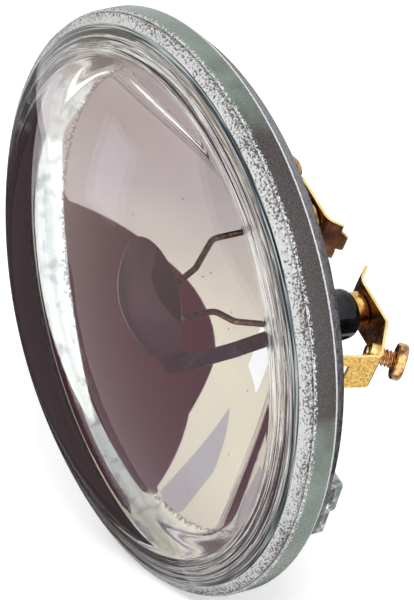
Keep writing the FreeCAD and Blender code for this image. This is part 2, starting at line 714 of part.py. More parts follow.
def rounded_path(points, bend):
    """A wire of straight runs, joined at each inner point by an arc that touches both."""
    edges = []
    start = points[0]
    for before, corner, after in zip(points, points[1:], points[2:]):
        inwards = (corner - before).normalize()
        outwards = (after - corner).normalize()
        turn = inwards.getAngle(outwards)
        room = 0.45 * min((corner - before).Length, (after - corner).Length)
        radius = min(bend, room / math.tan(turn / 2))
        trim = radius * math.tan(turn / 2)
        arc_start = corner - inwards * trim
        arc_end = corner + outwards * trim
        towards = (outwards - inwards).normalize()
        centre = corner + towards * (radius / math.cos(turn / 2))
        edges.append(Part.makeLine(start, arc_start))
        edges.append(Part.Arc(arc_start, centre - towards * radius, arc_end).toShape())
        start = arc_end
    edges.append(Part.makeLine(start, points[-1]))
    return Part.Wire(edges)


def round_wire(name, points, radius, bend):
    """A round wire along bent runs."""
    path = rounded_path(points, bend)
    ring = Part.Wire(Part.makeCircle(radius, points[0], points[1] - points[0]))
    wire = doc.addObject("Part::Feature", name)
    wire.Shape = path.makePipeShell([ring], True, False)
    return wire


def coil_line():
    """The middle of the coil, at the mirror's focus, and the direction of its axis."""
    return Vector(size("coil_side"), coil_level, size("coil_up")), across(size("coil_angle"), 1.0)


def make_coil():
    """The tungsten coil, as the round space that its turns fill, with a straight leg at each end."""
    body = new_body("filament")
    sketch = flat_sketch(body, "coil_section", "XZ_Plane")
    half = "Sizes.coil_length / 2"
    straight_outline(sketch, [
        (None, "-%s - Sizes.coil_leg" % half),
        ("Sizes.coil_wire", "-%s - Sizes.coil_leg" % half),
        ("Sizes.coil_wire", "-" + half),
        ("Sizes.coil_radius", "-" + half),
        ("Sizes.coil_radius", half),
        ("Sizes.coil_wire", half),
        ("Sizes.coil_wire", "%s + Sizes.coil_leg" % half),
        (None, "%s + Sizes.coil_leg" % half),
    ])
    turned(body, "coil_turned", sketch)
    middle, axis = coil_line()
    body.Placement = Placement(middle, Rotation(Vector(0, 0, 1), axis))
    return body


def make_leads():
    """The two bent leads, each from the closed end of its ferrule to a leg of the coil."""
    upper_middle = across(size("ferrule_angle") + FULL_TURN / 2, size("ferrule_circle"))
    lower_middle = across(size("ferrule_angle"), size("ferrule_circle"))
    lower_middle = lower_middle + across(size("strap_angle") + FULL_TURN / 4, size("lead_aside"))
    middle, axis = coil_line()
    reach = size("coil_length") / 2 + size("coil_leg")
    near, far = axis * reach, axis * (reach + size("lead_straight"))
    upper = round_wire("lead_wire_upper", [
        upper_middle + Vector(0, ferrule_floor, 0),
        upper_middle + Vector(0, coil_level + size("upper_first_back"), 0),
        bend_point("upper_second"),
        middle + far,
        middle + near,
    ], size("lead_radius"), size("lead_bend"))
    lower = round_wire("lead_wire_lower", [
        lower_middle + Vector(0, ferrule_floor, 0),
        lower_middle + Vector(0, coil_level + size("lower_first_back"), 0),
        bend_point("lower_second"),
        bend_point("lower_third"),
        middle - far,
        middle - near,
    ], size("lead_radius"), size("lead_bend"))
    return upper, lower


def bend_point(name):
    """A lead's bend from its three named sizes."""
    return Vector(size(name + "_side"), coil_level + size(name + "_back"), size(name + "_up"))


def make_strap():
    """The flat strap, from the lower ferrule to the cap's ear, bent twice."""
    body = new_body("shield_strap")
    sketch = flat_sketch(body, "strap_section", "XY_Plane")
    thick = "Sizes.strap_thickness"
    first_y = COIL + " + Sizes.strap_first_back"
    second_y = COIL + " + Sizes.strap_second_back"
    end_y = COIL + " - Sizes.cap_ahead + Sizes.strap_lap"
    straight_outline(sketch, [
        (None, FERRULE_FLOOR),
        (None, first_y),
        ("-Sizes.strap_second_side", second_y),
        ("-Sizes.strap_end_side", end_y),
        ("-Sizes.strap_end_side + " + thick, end_y),
        ("-Sizes.strap_second_side + " + thick, second_y),
        (thick, first_y),
        (thick, FERRULE_FLOOR),
    ])
    pad = body.newObject("PartDesign::Pad", "strap_strip")
    pad.Profile = sketch
    pad.Midplane = True
    pad.setExpression("Length", "Sizes.strap_width")
    doc.recompute()
    body.Placement = strap_place()
    return body


def strap_place():
    """Where the strap's own origin lies: beside the middle of the lower ferrule."""
    middle = across(size("ferrule_angle"), size("ferrule_circle"))
    beside = across(size("strap_angle") + FULL_TURN / 4, -size("strap_aside"))
    return Placement(middle + beside, turned_to(size("strap_angle")))


def make_cap():
    """The dished cap that hides the coil from the front, with an ear for the strap."""
    dish = new_body("cap_dish")
    dished(
        dish,
        (-size("cap_depth"), "-Sizes.cap_depth"),
        (size("cap_wall"), "Sizes.cap_wall"),
        (size("cap_radius"), "Sizes.cap_radius"),
        (size("cap_radius") - size("cap_wall"), "Sizes.cap_radius - Sizes.cap_wall"),
        (0.0, "0"),
        (0.3, "0.3"),
    )
    dish.Placement = Placement(Vector(size("cap_side"), cap_level, size("cap_up")), Rotation())
    ear = doc.addObject("Part::Box", "cap_ear")
    ear.setExpression("Length", "Sizes.cap_wall")
    ear.setExpression("Width", "Sizes.ear_length")
    ear.setExpression("Height", "Sizes.ear_width")
    ear_face = -size("strap_end_side") - size("cap_wall")
    cap_middle = strap_place().inverse().multVec(Vector(size("cap_side"), 0, size("cap_up")))
    rim = cap_middle.z - math.sqrt(size("cap_radius") ** 2 - (ear_face - cap_middle.x) ** 2)
    corner = Vector(ear_face, cap_level - size("ear_root"), rim + size("ear_root") - size("ear_width"))
    ear.Placement = strap_place() * Placement(corner, Rotation())
    cap = doc.addObject("Part::Fuse", "filament_shield")
    cap.Base = dish
    cap.Tool = ear
    cap.Label = "filament_shield"
    doc.recompute()
    return cap


def make_braze(name, angle, through):
    """The bead in the closed end of a ferrule, round what comes out of it."""
    bead = doc.addObject("Part::Cone", name + "_bead")
    bead.setExpression("Radius1", "Sizes.braze_radius / 2")
    bead.setExpression("Radius2", "Sizes.braze_radius")
    bead.setExpression("Height", "Sizes.braze_height")
    level = ferrule_floor - size("braze_height")
    bead.Placement = Placement(across(angle, size("ferrule_circle"), level), ONTO_LAMP_AXIS)
    held = through[0]
    if len(through) > 1:
        held = doc.addObject("Part::MultiFuse", name + "_held")
        held.Shapes = through
    braze = doc.addObject("Part::Cut", name)
    braze.Base = bead
    braze.Tool = held
    braze.Label = name
    doc.recompute()
    return braze


# Build every piece


lower_angle = size("ferrule_angle")
upper_angle = lower_angle + FULL_TURN / 2
lower_foot = size("terminal_angle")
upper_foot = lower_foot + FULL_TURN / 2

pieces = [make_lens(), make_reflector(), make_tube()]
pieces.append(make_ferrule("ferrule_lower", lower_angle))
pieces.append(make_ferrule("ferrule_upper", upper_angle))

sides = [
    ("lower", lower_angle, lower_foot, 0.0),
    ("upper", upper_angle, upper_foot, size("upper_shift")),
]
for side, ferrule_angle, foot_angle, shift in sides:
    place = terminal_place(ferrule_angle, foot_angle, shift)
    terminal, screw_seat = make_terminal("terminal_" + side)
    terminal.Placement = place
    screw = make_screw("screw_" + side)
    screw.Placement = place * screw_seat
    pieces += [terminal, screw]

lead_upper, lead_lower = make_leads()
strap = make_strap()
pieces += [lead_upper, lead_lower, strap, make_cap(), make_coil()]
pieces.append(make_braze("braze_upper", upper_angle, [lead_upper]))
pieces.append(make_braze("braze_lower", lower_angle, [lead_lower, strap]))

# Check every object and write the pieces

doc.recompute()
for item in doc.Objects:
    if "Invalid" in item.State or "Error" in item.State:
        raise RuntimeError("%s is %s" % (item.Name, item.State))
os.makedirs("parts", exist_ok=True)
for piece in pieces:
    shape = piece.Shape
    if shape.isNull() or not shape.isValid() or not shape.Solids:
        raise RuntimeError("%s has no valid solid" % piece.Label)
    shape.exportStep(os.path.join("parts", piece.Label + ".step"))
    box = shape.BoundBox
    print("%-18s %d solid %9.2f mm3  %s" % (
        piece.Label, len(shape.Solids), shape.Volume,
        " ".join("%.2f" % value for value in (box.XMin, box.XMax, box.YMin, box.YMax, box.ZMin, box.ZMax)),
    ))
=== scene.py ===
import json
import math

import bmesh
import bpy
from mathutils import Matrix, Vector


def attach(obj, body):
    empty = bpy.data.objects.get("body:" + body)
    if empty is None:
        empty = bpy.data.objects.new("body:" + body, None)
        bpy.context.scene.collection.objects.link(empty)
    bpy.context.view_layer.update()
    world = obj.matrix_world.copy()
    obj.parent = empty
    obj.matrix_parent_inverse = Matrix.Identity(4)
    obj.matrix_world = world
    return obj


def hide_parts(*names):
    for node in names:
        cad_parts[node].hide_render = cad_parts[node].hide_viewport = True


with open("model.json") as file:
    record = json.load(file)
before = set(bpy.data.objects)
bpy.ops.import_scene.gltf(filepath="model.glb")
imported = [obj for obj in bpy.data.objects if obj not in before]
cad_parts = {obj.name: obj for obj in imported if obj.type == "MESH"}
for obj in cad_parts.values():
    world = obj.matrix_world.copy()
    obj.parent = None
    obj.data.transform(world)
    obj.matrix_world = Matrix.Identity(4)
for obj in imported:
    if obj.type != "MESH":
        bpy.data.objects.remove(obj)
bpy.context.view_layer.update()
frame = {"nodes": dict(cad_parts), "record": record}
nodes = frame["nodes"]


# The bowl: one pressed piece of glass. Its inside is a parabola with an evaporated metal coat, and the
# coat stops a few millimetres before the rim, where the glass is fused to the lens in a gas flame.
# The side of the rim and the chamfer behind it are as grainy as the mould that pressed them.

RIM_RADIUS = 0.056
RIM_HALF = 0.0023
SEAM = -RIM_HALF
MOUTH_RADIUS = 0.049
FOCAL_LENGTH = 0.0215
MIRROR_VERTEX = SEAM + MOUTH_RADIUS ** 2 / (4 * FOCAL_LENGTH)
BACK_VERTEX = MIRROR_VERTEX + 0.0034
COAT_EDGE = 0.0436
SHOULDER_MOUTH = 0.0473
SEAT_LEVEL = 0.006
SEAT_OUTER = 0.0527
SEAT_INNER = 0.046
ROUND_STEPS = 256
GLASS_IOR = 1.48


def chain(bm, points):
    """A run of edges through points, each given as its radius from the lamp's axis and its level."""
    verts = [bm.verts.new((radius, level, 0)) for radius, level in points]
    for one, two in zip(verts, verts[1:]):
        bm.edges.new((one, two))
    return verts


def spun(bm, steps):
    """The chain of edges spun all the way round the lamp's axis, into a closed skin."""
    bmesh.ops.remove_doubles(bm, verts=bm.verts, dist=1e-7)
    bmesh.ops.spin(bm, geom=bm.verts[:] + bm.edges[:], cent=(0, 0, 0), axis=(0, 1, 0),
                   angle=math.tau, steps=steps, use_merge=True)
    bmesh.ops.remove_doubles(bm, verts=bm.verts, dist=1e-7)
    bmesh.ops.recalc_face_normals(bm, faces=bm.faces)


def round_corners(bm, corners, width):
    """The corners of a section rounded, before it is spun."""
    bmesh.ops.bevel(bm, geom=corners, offset=width, offset_type="OFFSET", segments=4, profile=0.5,
                    affect="VERTICES", material=-1)


def piece(name, bm, materials, body="lamp"):
    """A smooth mesh object made from a bmesh, riding on its body."""
    mesh = bpy.data.meshes.new(name)
    bm.to_mesh(mesh)
    bm.free()
    for material in materials:
        mesh.materials.append(material)
    mesh.shade_smooth()
    thing = bpy.data.objects.new(name, mesh)
    bpy.context.scene.collection.objects.link(thing)
    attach(thing, body)
    return thing


def new_material(name):
    """A material with its shader, a maker of further nodes, and its way to link them."""
    material = bpy.data.materials.new(name)
    material.use_nodes = True
    tree = material.node_tree
    shader = tree.nodes["Principled BSDF"]

    def node(kind, inputs=None, **settings):
        made = tree.nodes.new(kind)
        for key, value in settings.items():
            setattr(made, key, value)
        for socket, value in (inputs or {}).items():
            target = made.inputs[socket]
            if isinstance(value, bpy.types.NodeSocket):
                tree.links.new(value, target)
            else:
                target.default_value = value
        return made

    return material, shader, node, tree.links.new


def ramp(node, value, stops):
    """A colour ramp with its own stops, each a position and a colour."""
    made = node("ShaderNodeValToRGB", {"Fac": value})
    elements = made.color_ramp.elements
    while len(elements) < len(stops):
        elements.new(1.0)
    for element, (position, color) in zip(elements, stops):
        element.position = position
        element.color = (*color, 1) if len(color) == 3 else color
    return made.outputs["Color"]


def from_axis(node, place):
    """The distance from the lamp's axis, in metres."""
    flat = node("ShaderNodeVectorMath", {0: place, 1: (1, 0, 1)}, operation="MULTIPLY")
    return node("ShaderNodeVectorMath", {0: flat.outputs["Vector"]}, operation="LENGTH").outputs["Value"]


def around(node, place, across, along):
    """A noise of fine lines that run round the lamp's axis: how many lie across a metre, and how short
    they are."""
    radius = from_axis(node, place)
    turn = node("ShaderNodeVectorMath", {0: place, 1: (1, 0, 1)}, operation="MULTIPLY")
    unit = node("ShaderNodeVectorMath", {0: turn.outputs["Vector"]}, operation="NORMALIZE")
    longer = node("ShaderNodeVectorMath", {0: unit.outputs["Vector"], "Scale": along}, operation="SCALE")
    out = node("ShaderNodeMath", {0: radius, 1: across}, operation="MULTIPLY")
    lift = node("ShaderNodeCombineXYZ", {"Y": out.outputs[0]})
    both = node("ShaderNodeVectorMath", {0: longer.outputs["Vector"], 1: lift.outputs["Vector"]},
                operation="ADD")
    lines = node("ShaderNodeTexNoise", {"Vector": both.outputs["Vector"], "Scale": 1.0, "Detail": 3.0})
    return lines.outputs["Fac"]


def stretch(node, value, low, high, to_low=0.0, to_high=1.0):
    """A value's range from low to high turned into another range, and cut off at its ends."""
    made = node("ShaderNodeMapRange", {"Value": value, "From Min": low, "From Max": high,
                                       "To Min": to_low, "To Max": to_high})
    return made.outputs["Result"]


def mixed(node, share, one, two):
    """One colour passing into another by a share."""
    made = node("ShaderNodeMix", {0: share, 6: one, 7: two}, data_type="RGBA")
    return made.outputs[2]


def painted_bounce_glow(material, shader, node, link, color):
    """Painted glow: past two glossy bounces, thick glass glows pale on its own, in place of the light thrown
    about inside it.
    """
    path = node("ShaderNodeLightPath")
    painted_light_gate = node("ShaderNodeMath", {0: path.outputs["Glossy Depth"], 1: 2.5}, operation="GREATER_THAN")
    # the painted glow: an emission, not a lamp
    glow = node("ShaderNodeEmission", {"Color": (*color, 1)})
    blend = node("ShaderNodeMixShader", {0: painted_light_gate.outputs[0], 1: shader.outputs["BSDF"],
                                         2: glow.outputs["Emission"]})
    link(blend.outputs["Shader"], material.node_tree.nodes["Material Output"].inputs["Surface"])


def clear_glass(name, color, roughness, grain, glow):
    """Pressed glass: its tint, how matt it is, and how deep the grain of its surface is."""
    material, shader, node, link = new_material(name)
    shader.inputs["Base Color"].default_value = (*color, 1)
    shader.inputs["Transmission Weight"].default_value = 1.0
    shader.inputs["IOR"].default_value = GLASS_IOR
    place = node("ShaderNodeTexCoord").outputs["Object"]
    fine = node("ShaderNodeTexNoise", {"Vector": place, "Scale": 1400.0, "Detail": 5.0})
    broad = node("ShaderNodeTexNoise", {"Vector": place, "Scale": 160.0, "Detail": 3.0})
    both = node("ShaderNodeMath", {0: fine.outputs["Fac"], 1: broad.outputs["Fac"]}, operation="ADD")
    rough = node("ShaderNodeMapRange", {"Value": broad.outputs["Fac"], "To Min": roughness * 0.6,
                                        "To Max": roughness * 1.6})
    bump = node("ShaderNodeBump", {"Strength": grain, "Distance": 0.0002, "Height": both.outputs[0]})
    link(rough.outputs["Result"], shader.inputs["Roughness"])
    link(bump.outputs["Normal"], shader.inputs["Normal"])
    painted_bounce_glow(material, shader, node, link, glow)
    return material


def mirror_coat():
    """The evaporated metal: bright, a little lilac, with pinholes and fine wipe marks."""
    material, shader, node, link = new_material("mirror_coat")
    shader.inputs["Metallic"].default_value = 1.0
    place = node("ShaderNodeTexCoord").outputs["Object"]
    cloud = node("ShaderNodeTexNoise", {"Vector": place, "Scale": 60.0, "Detail": 3.0})
    tint = ramp(node, cloud.outputs["Fac"], [(0.3, (0.74, 0.71, 0.72)), (0.7, (0.80, 0.78, 0.78))])
    speck = node("ShaderNodeTexVoronoi", {"Vector": place, "Scale": 260.0})
    pin = ramp(node, speck.outputs["Distance"], [(0.035, (0.25, 0.24, 0.25)), (0.06, (1, 1, 1))])
    dotted = node("ShaderNodeMix", {0: 1.0, 6: tint, 7: pin}, data_type="RGBA", blend_type="MULTIPLY")
    link(dotted.outputs[2], shader.inputs["Base Color"])
    grain = node("ShaderNodeTexNoise", {"Vector": place, "Scale": 900.0, "Detail": 4.0})
    rough = node("ShaderNodeMapRange", {"Value": grain.outputs["Fac"], "To Min": 0.0, "To Max": 0.07})
    link(rough.outputs["Result"], shader.inputs["Roughness"])
    return material


def coat_edge():
    """The shoulder beyond the coat's edge: smooth and bright, with marks that run round it."""
    material, shader, node, link = new_material("coat_edge")
    shader.inputs["Metallic"].default_value = 1.0
    place = node("ShaderNodeTexCoord").outputs["Object"]
    marks = around(node, place, 900.0, 14.0)
    tint = ramp(node, marks, [(0.32, (0.72, 0.72, 0.75)), (0.46, (0.95, 0.96, 0.97)),
                              (0.7, (0.99, 0.98, 0.95))])
    grain = node("ShaderNodeTexNoise", {"Vector": place, "Scale": 1500.0, "Detail": 4.0})
    ragged = node("ShaderNodeMath", {0: from_axis(node, place),
                                     1: stretch(node, grain.outputs["Fac"], 0.3, 0.7, -0.0005, 0.0005)},
                  operation="ADD")
    bare = stretch(node, ragged.outputs[0], COAT_EDGE + 0.0002, COAT_EDGE + 0.0004)
    link(mixed(node, bare, (0.42, 0.40, 0.42, 1), tint), shader.inputs["Base Color"])
    link(stretch(node, marks, 0.3, 0.7, 0.16, 0.03), shader.inputs["Roughness"])
    return material


def rim_glass():
    """The rim's side and the chamfer behind it, grainy: green glass above and below a dark brown-grey band of
    painted shade across the middle height, which stands for the mirror's back seen through it; the chamfer is
    painted a darker blue-grey, dark where the mould was scaled; and thin pale lines along its corners are
    painted highlights."""
    material, shader, node, link = new_material("rim_glass")
    place = node("ShaderNodeTexCoord").outputs["Object"]
    parts = node("ShaderNodeSeparateXYZ", {"Vector": place})
    grain = node("ShaderNodeTexNoise", {"Vector": place, "Scale": 2600.0, "Detail": 4.0, "Roughness": 0.7})
    cloud = node("ShaderNodeTexNoise", {"Vector": place, "Scale": 90.0, "Detail": 3.0})
    # brown: painted shade, the mirror's back as if seen through the glass
    brown = ramp(node, grain.outputs["Fac"], [(0.35, (0.022, 0.017, 0.017)), (0.6, (0.075, 0.060, 0.058))])
    green = ramp(node, cloud.outputs["Fac"], [(0.35, (0.18, 0.225, 0.19)), (0.65, (0.25, 0.31, 0.265))])
    # the dark brown band of painted shade lies across the middle height; above and below it the glass is
    # green
    middle = node("ShaderNodeMath", {0: parts.outputs["Z"], 1: 0.0195}, operation="SUBTRACT")
    height = node("ShaderNodeMath", {0: middle.outputs[0]}, operation="ABSOLUTE")
    painted_shade_band_height = node("ShaderNodeMath", {0: height.outputs[0],
                                           1: stretch(node, cloud.outputs["Fac"], 0.3, 0.7, -0.004, 0.004)},
                        operation="ADD")
    side = mixed(node, stretch(node, painted_shade_band_height.outputs[0], 0.024, 0.032), brown, green)
    marks = node("ShaderNodeTexNoise", {"Vector": place, "Scale": 700.0, "Detail": 3.0})
    # the chamfer: a darker blue-grey of painted shade, with dark mould marks at random
    chamfer_marks_and_painted_shade = ramp(node, marks.outputs["Fac"], [(0.40, (0.010, 0.010, 0.012)), (0.45, (0.065, 0.062, 0.072)),
                                             (0.7, (0.135, 0.13, 0.155))])
    behind = mixed(node, stretch(node, parts.outputs["Y"], RIM_HALF - 0.0001, RIM_HALF + 0.0002), side, chamfer_marks_and_painted_shade)
    # thin pale lines along the rim's corner and the seat's edge: painted highlights
    corner = node("ShaderNodeMath", {0: parts.outputs["Y"], 1: RIM_HALF}, operation="SUBTRACT")
    near = node("ShaderNodeMath", {0: corner.outputs[0]}, operation="ABSOLUTE")
    seat = node("ShaderNodeMath", {0: parts.outputs["Y"], 1: SEAT_LEVEL}, operation="SUBTRACT")
    last = node("ShaderNodeMath", {0: seat.outputs[0]}, operation="ABSOLUTE")
    edge = node("ShaderNodeMath", {0: near.outputs[0], 1: last.outputs[0]}, operation="MINIMUM")
    painted_light_gate = stretch(node, grain.outputs["Fac"], 0.3, 0.7, 0.00012, 0.00030)
    painted_corner_highlight = node("ShaderNodeMath", {0: edge.outputs[0], 1: painted_light_gate}, operation="LESS_THAN")
    melted = stretch(node, grain.outputs["Fac"], 0.35, 0.65, SEAM - 0.0004, SEAM + 0.0007)
    seam = node("ShaderNodeMath", {0: parts.outputs["Y"], 1: melted}, operation="LESS_THAN")
    # pale: the painted corner highlights together with the frosted seam's own white
    pale = node("ShaderNodeMath", {0: painted_corner_highlight.outputs[0], 1: seam.outputs[0]}, operation="MAXIMUM")
    link(mixed(node, pale.outputs[0], behind, (0.86, 0.86, 0.90, 1)), shader.inputs["Base Color"])
    shader.inputs["Transmission Weight"].default_value = 0.15
    shader.inputs["IOR"].default_value = GLASS_IOR
    link(stretch(node, grain.outputs["Fac"], 0.3, 0.7, 0.14, 0.34), shader.inputs["Roughness"])
    bump = node("ShaderNodeBump", {"Strength": 0.35, "Distance": 0.0002, "Height": grain.outputs["Fac"]})
    link(bump.outputs["Normal"], shader.inputs["Normal"])
    return material


GLASS_GREEN = (0.90, 0.96, 0.93)
THICK_GLASS = (0.78, 0.82, 0.80)
# INNER_GLOW: the colour of the painted glow the bowl's glass shows past two glossy bounces
INNER_GLOW = (0.30, 0.33, 0.31)

bm = bmesh.new()
fall = 1 / (4 * FOCAL_LENGTH)
mirror_steps = 72
mirror_line = [(COAT_EDGE * k / mirror_steps, MIRROR_VERTEX - fall * (COAT_EDGE * k / mirror_steps) ** 2)
               for k in range(mirror_steps + 1)]
shoulder_level = mirror_line[-1][1]
shoulder_steps = 10
shoulder_line = []
for k in range(1, shoulder_steps + 1):
    t = k / shoulder_steps
    shoulder_line.append((COAT_EDGE + (SHOULDER_MOUTH - COAT_EDGE) * (t + 0.06 * math.sin(t * math.tau)),
                          shoulder_level + (SEAM - shoulder_level) * t))
inside = chain(bm, mirror_line + shoulder_line)
back_steps = 56
back_fall = (BACK_VERTEX - SEAT_LEVEL) / SEAT_INNER ** 2
outside = chain(bm, [(SEAT_INNER * k / back_steps,
                      BACK_VERTEX - back_fall * (SEAT_INNER * k / back_steps) ** 2)
                     for k in range(back_steps + 1)])
rim = chain(bm, [(RIM_RADIUS, SEAM), (RIM_RADIUS, RIM_HALF), (SEAT_OUTER, SEAT_LEVEL)])
bm.edges.new((inside[-1], rim[0]))
bm.edges.new((rim[-1], outside[-1]))
round_corners(bm, rim + [outside[-1]], 0.0005)
spun(bm, ROUND_STEPS)
for face in bm.faces:
    middle = face.calc_center_median()
    radius = math.hypot(middle.x, middle.z)
    above_back = BACK_VERTEX - back_fall * radius ** 2 - middle.y
    if radius < COAT_EDGE and above_back > 0.002:
        face.material_index = 1
    elif radius < SHOULDER_MOUTH and middle.y < shoulder_level and above_back > 0.002 and middle.y > SEAM:
        face.material_index = 2
    elif radius > SEAT_OUTER - 0.0004:
        face.material_index = 3
bowl = piece("mirrored_bowl", bm, [
    clear_glass("bowl_glass", THICK_GLASS, 0.06, 0.08, INNER_GLOW),
    mirror_coat(),
    coat_edge(),
    rim_glass(),
])
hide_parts("reflector")


# The two bosses: dark glass, melted round the ferrules and onto the back of the bowl.

BOSS_ROOT = BACK_VERTEX - 0.0032
BOSS_END = BACK_VERTEX + 0.00705
BOSS_FOOT = 0.0055
BOSS_RADIUS = 0.0049
BOSS_ROUND = 0.0023
FERRULE_RADIUS = 0.0036
FERRULE_CIRCLE = 0.011
FERRULE_ANGLE = math.radians(-36)


def on_ferrule(side):
    """The middle of a ferrule, at level 0: side is 1 for the lower one and -1 for the upper one."""
    return Vector((math.cos(FERRULE_ANGLE), 0, math.sin(FERRULE_ANGLE))) * (side * FERRULE_CIRCLE)


def black_glass():
    """Glass darkened by the metal's oxide: nearly black, glossy, with a faint violet-blue depth."""
    material, shader, node, link = new_material("boss_glass")
    place = node("ShaderNodeTexCoord").outputs["Object"]
    cloud = node("ShaderNodeTexNoise", {"Vector": place, "Scale": 260.0, "Detail": 3.0})
    tint = ramp(node, cloud.outputs["Fac"], [(0.4, (0.004, 0.004, 0.005)), (0.75, (0.020, 0.018, 0.032))])
    link(tint, shader.inputs["Base Color"])
    wave = node("ShaderNodeBump", {"Strength": 0.35, "Distance": 0.0005, "Height": cloud.outputs["Fac"]})
    link(wave.outputs["Normal"], shader.inputs["Normal"])
    shader.inputs["Roughness"].default_value = 0.05
    shader.inputs["IOR"].default_value = 1.32
    return material


boss_glass = black_glass()
for name, side in (("boss_lower", 1), ("boss_upper", -1)):
    bm = bmesh.new()
    rounding = [(BOSS_RADIUS - BOSS_ROUND + BOSS_ROUND * math.sin(math.radians(a)),
                 BOSS_END - BOSS_ROUND + BOSS_ROUND * math.cos(math.radians(a))) for a in range(90, 25, -8)]
    neck = BACK_VERTEX - 0.0008
    flare = [(BOSS_FOOT + 0.0009, BOSS_ROOT + 0.0006), (BOSS_FOOT + 0.0004, neck - 0.0004),
             (BOSS_FOOT - 0.0001, neck)]
    chain(bm, [(FERRULE_RADIUS, BOSS_ROOT), (BOSS_FOOT + 0.0009, BOSS_ROOT)] + flare + rounding
          + [(FERRULE_RADIUS, rounding[-1][1]), (FERRULE_RADIUS, BOSS_ROOT)])
    spun(bm, 64)
    bmesh.ops.translate(bm, verts=bm.verts, vec=on_ferrule(side))
    boss = piece(name, bm, [boss_glass])


# The keys: two pairs of steps on the back of the rim, pressed with it, that stop the lamp from turning.

KEY_ANGLE = math.radians(-25)
KEY_INNER = 0.0496
KEY_DEPTH = 0.0044
KEY_ROOT = 0.0022
KEY_STEPS = ((0.002, -0.0037, 0.0074, 0.0009), (0.0008, -0.0089, 0.0056, 0.0005))

# the last colour is the keys' painted glow past two glossy bounces
key_glass = clear_glass("key_glass", GLASS_GREEN, 0.05, 0.2, (0.6, 0.62, 0.6))
for name, half_turn in (("key_first", 0), ("key_second", math.pi)):
    bm = bmesh.new()
    for height, start, length, radius in KEY_STEPS:
        made = bmesh.ops.create_cube(bm, size=1.0)["verts"]
        bmesh.ops.scale(bm, vec=(KEY_DEPTH, KEY_ROOT + height, length), verts=made)
        bmesh.ops.translate(bm, verts=made, vec=(KEY_INNER + KEY_DEPTH / 2,
                                                 SEAT_LEVEL + (height - KEY_ROOT) / 2, start + length / 2))
        edges = list({edge for vert in made for edge in vert.link_edges})
        bmesh.ops.bevel(bm, geom=edges, offset=radius, offset_type="OFFSET", segments=5, profile=0.5,
                        affect="EDGES", material=-1)
    bmesh.ops.rotate(bm, verts=bm.verts, cent=(0, 0, 0),
                     matrix=Matrix.Rotation(-KEY_ANGLE - half_turn, 3, "Y"))
    key = piece(name, bm, [key_glass])


# The lens: clear pressed glass, a shallow dome on both sides. Near its edge the inside runs out in low
# rings, and its edge is melted onto the bowl's rim in a rough, frosted seam.

LENS_FRONT = -0.01848
LENS_WALL = 0.0039
LENS_EDGE = 0.0554
LENS_LAND = 0.0009
RINGS_FROM = 0.046
RINGS_TO = 0.052
RINGS = ((0.00007, 5.3), (0.00004, 12.7))
STREAKS_FROM = 0.0487
GROOVE_FROM = 0.0524
FROST_FROM = 0.0537
MELT = 0.00002
# LENS_GLOW: the colour of the painted glow the lens shows past two glossy bounces
LENS_GLOW = (0.12, 0.09, 0.10)


def dome(apex, end_radius, end_level):
    """The level of a dome at any radius, from its apex and one point of its edge."""
    rise = end_level - apex
    sphere = (end_radius ** 2 + rise ** 2) / (2 * rise)
    return lambda radius: apex + sphere - math.sqrt(sphere ** 2 - radius ** 2)


def scratched(node, place):
    """How matt clear glass is: not at all, apart from fine scratches."""
    stretched = node("ShaderNodeMapping", {"Vector": place, "Rotation": (0.3, 0.5, 0.9), "Scale": (1, 1, 14)})
    scratch = node("ShaderNodeTexNoise", {"Vector": stretched.outputs["Vector"], "Scale": 260.0,
                                          "Detail": 5.0})
    return stretch(node, scratch.outputs["Fac"], 0.6, 0.8, 0.0, 0.1)


def lens_glass():
    """Clear pressed glass with fine scratches. What it reflects looks a little violet."""
    material, shader, node, link = new_material("lens_glass")
    shader.inputs["Base Color"].default_value = (0.99, 0.99, 0.99, 1)
    shader.inputs["Transmission Weight"].default_value = 1.0
    shader.inputs["IOR"].default_value = GLASS_IOR
    shader.inputs["Specular Tint"].default_value = (1.0, 0.72, 0.86, 1)
    place = node("ShaderNodeTexCoord").outputs["Object"]
    link(scratched(node, place), shader.inputs["Roughness"])
    painted_bounce_glow(material, shader, node, link, LENS_GLOW)
    return material


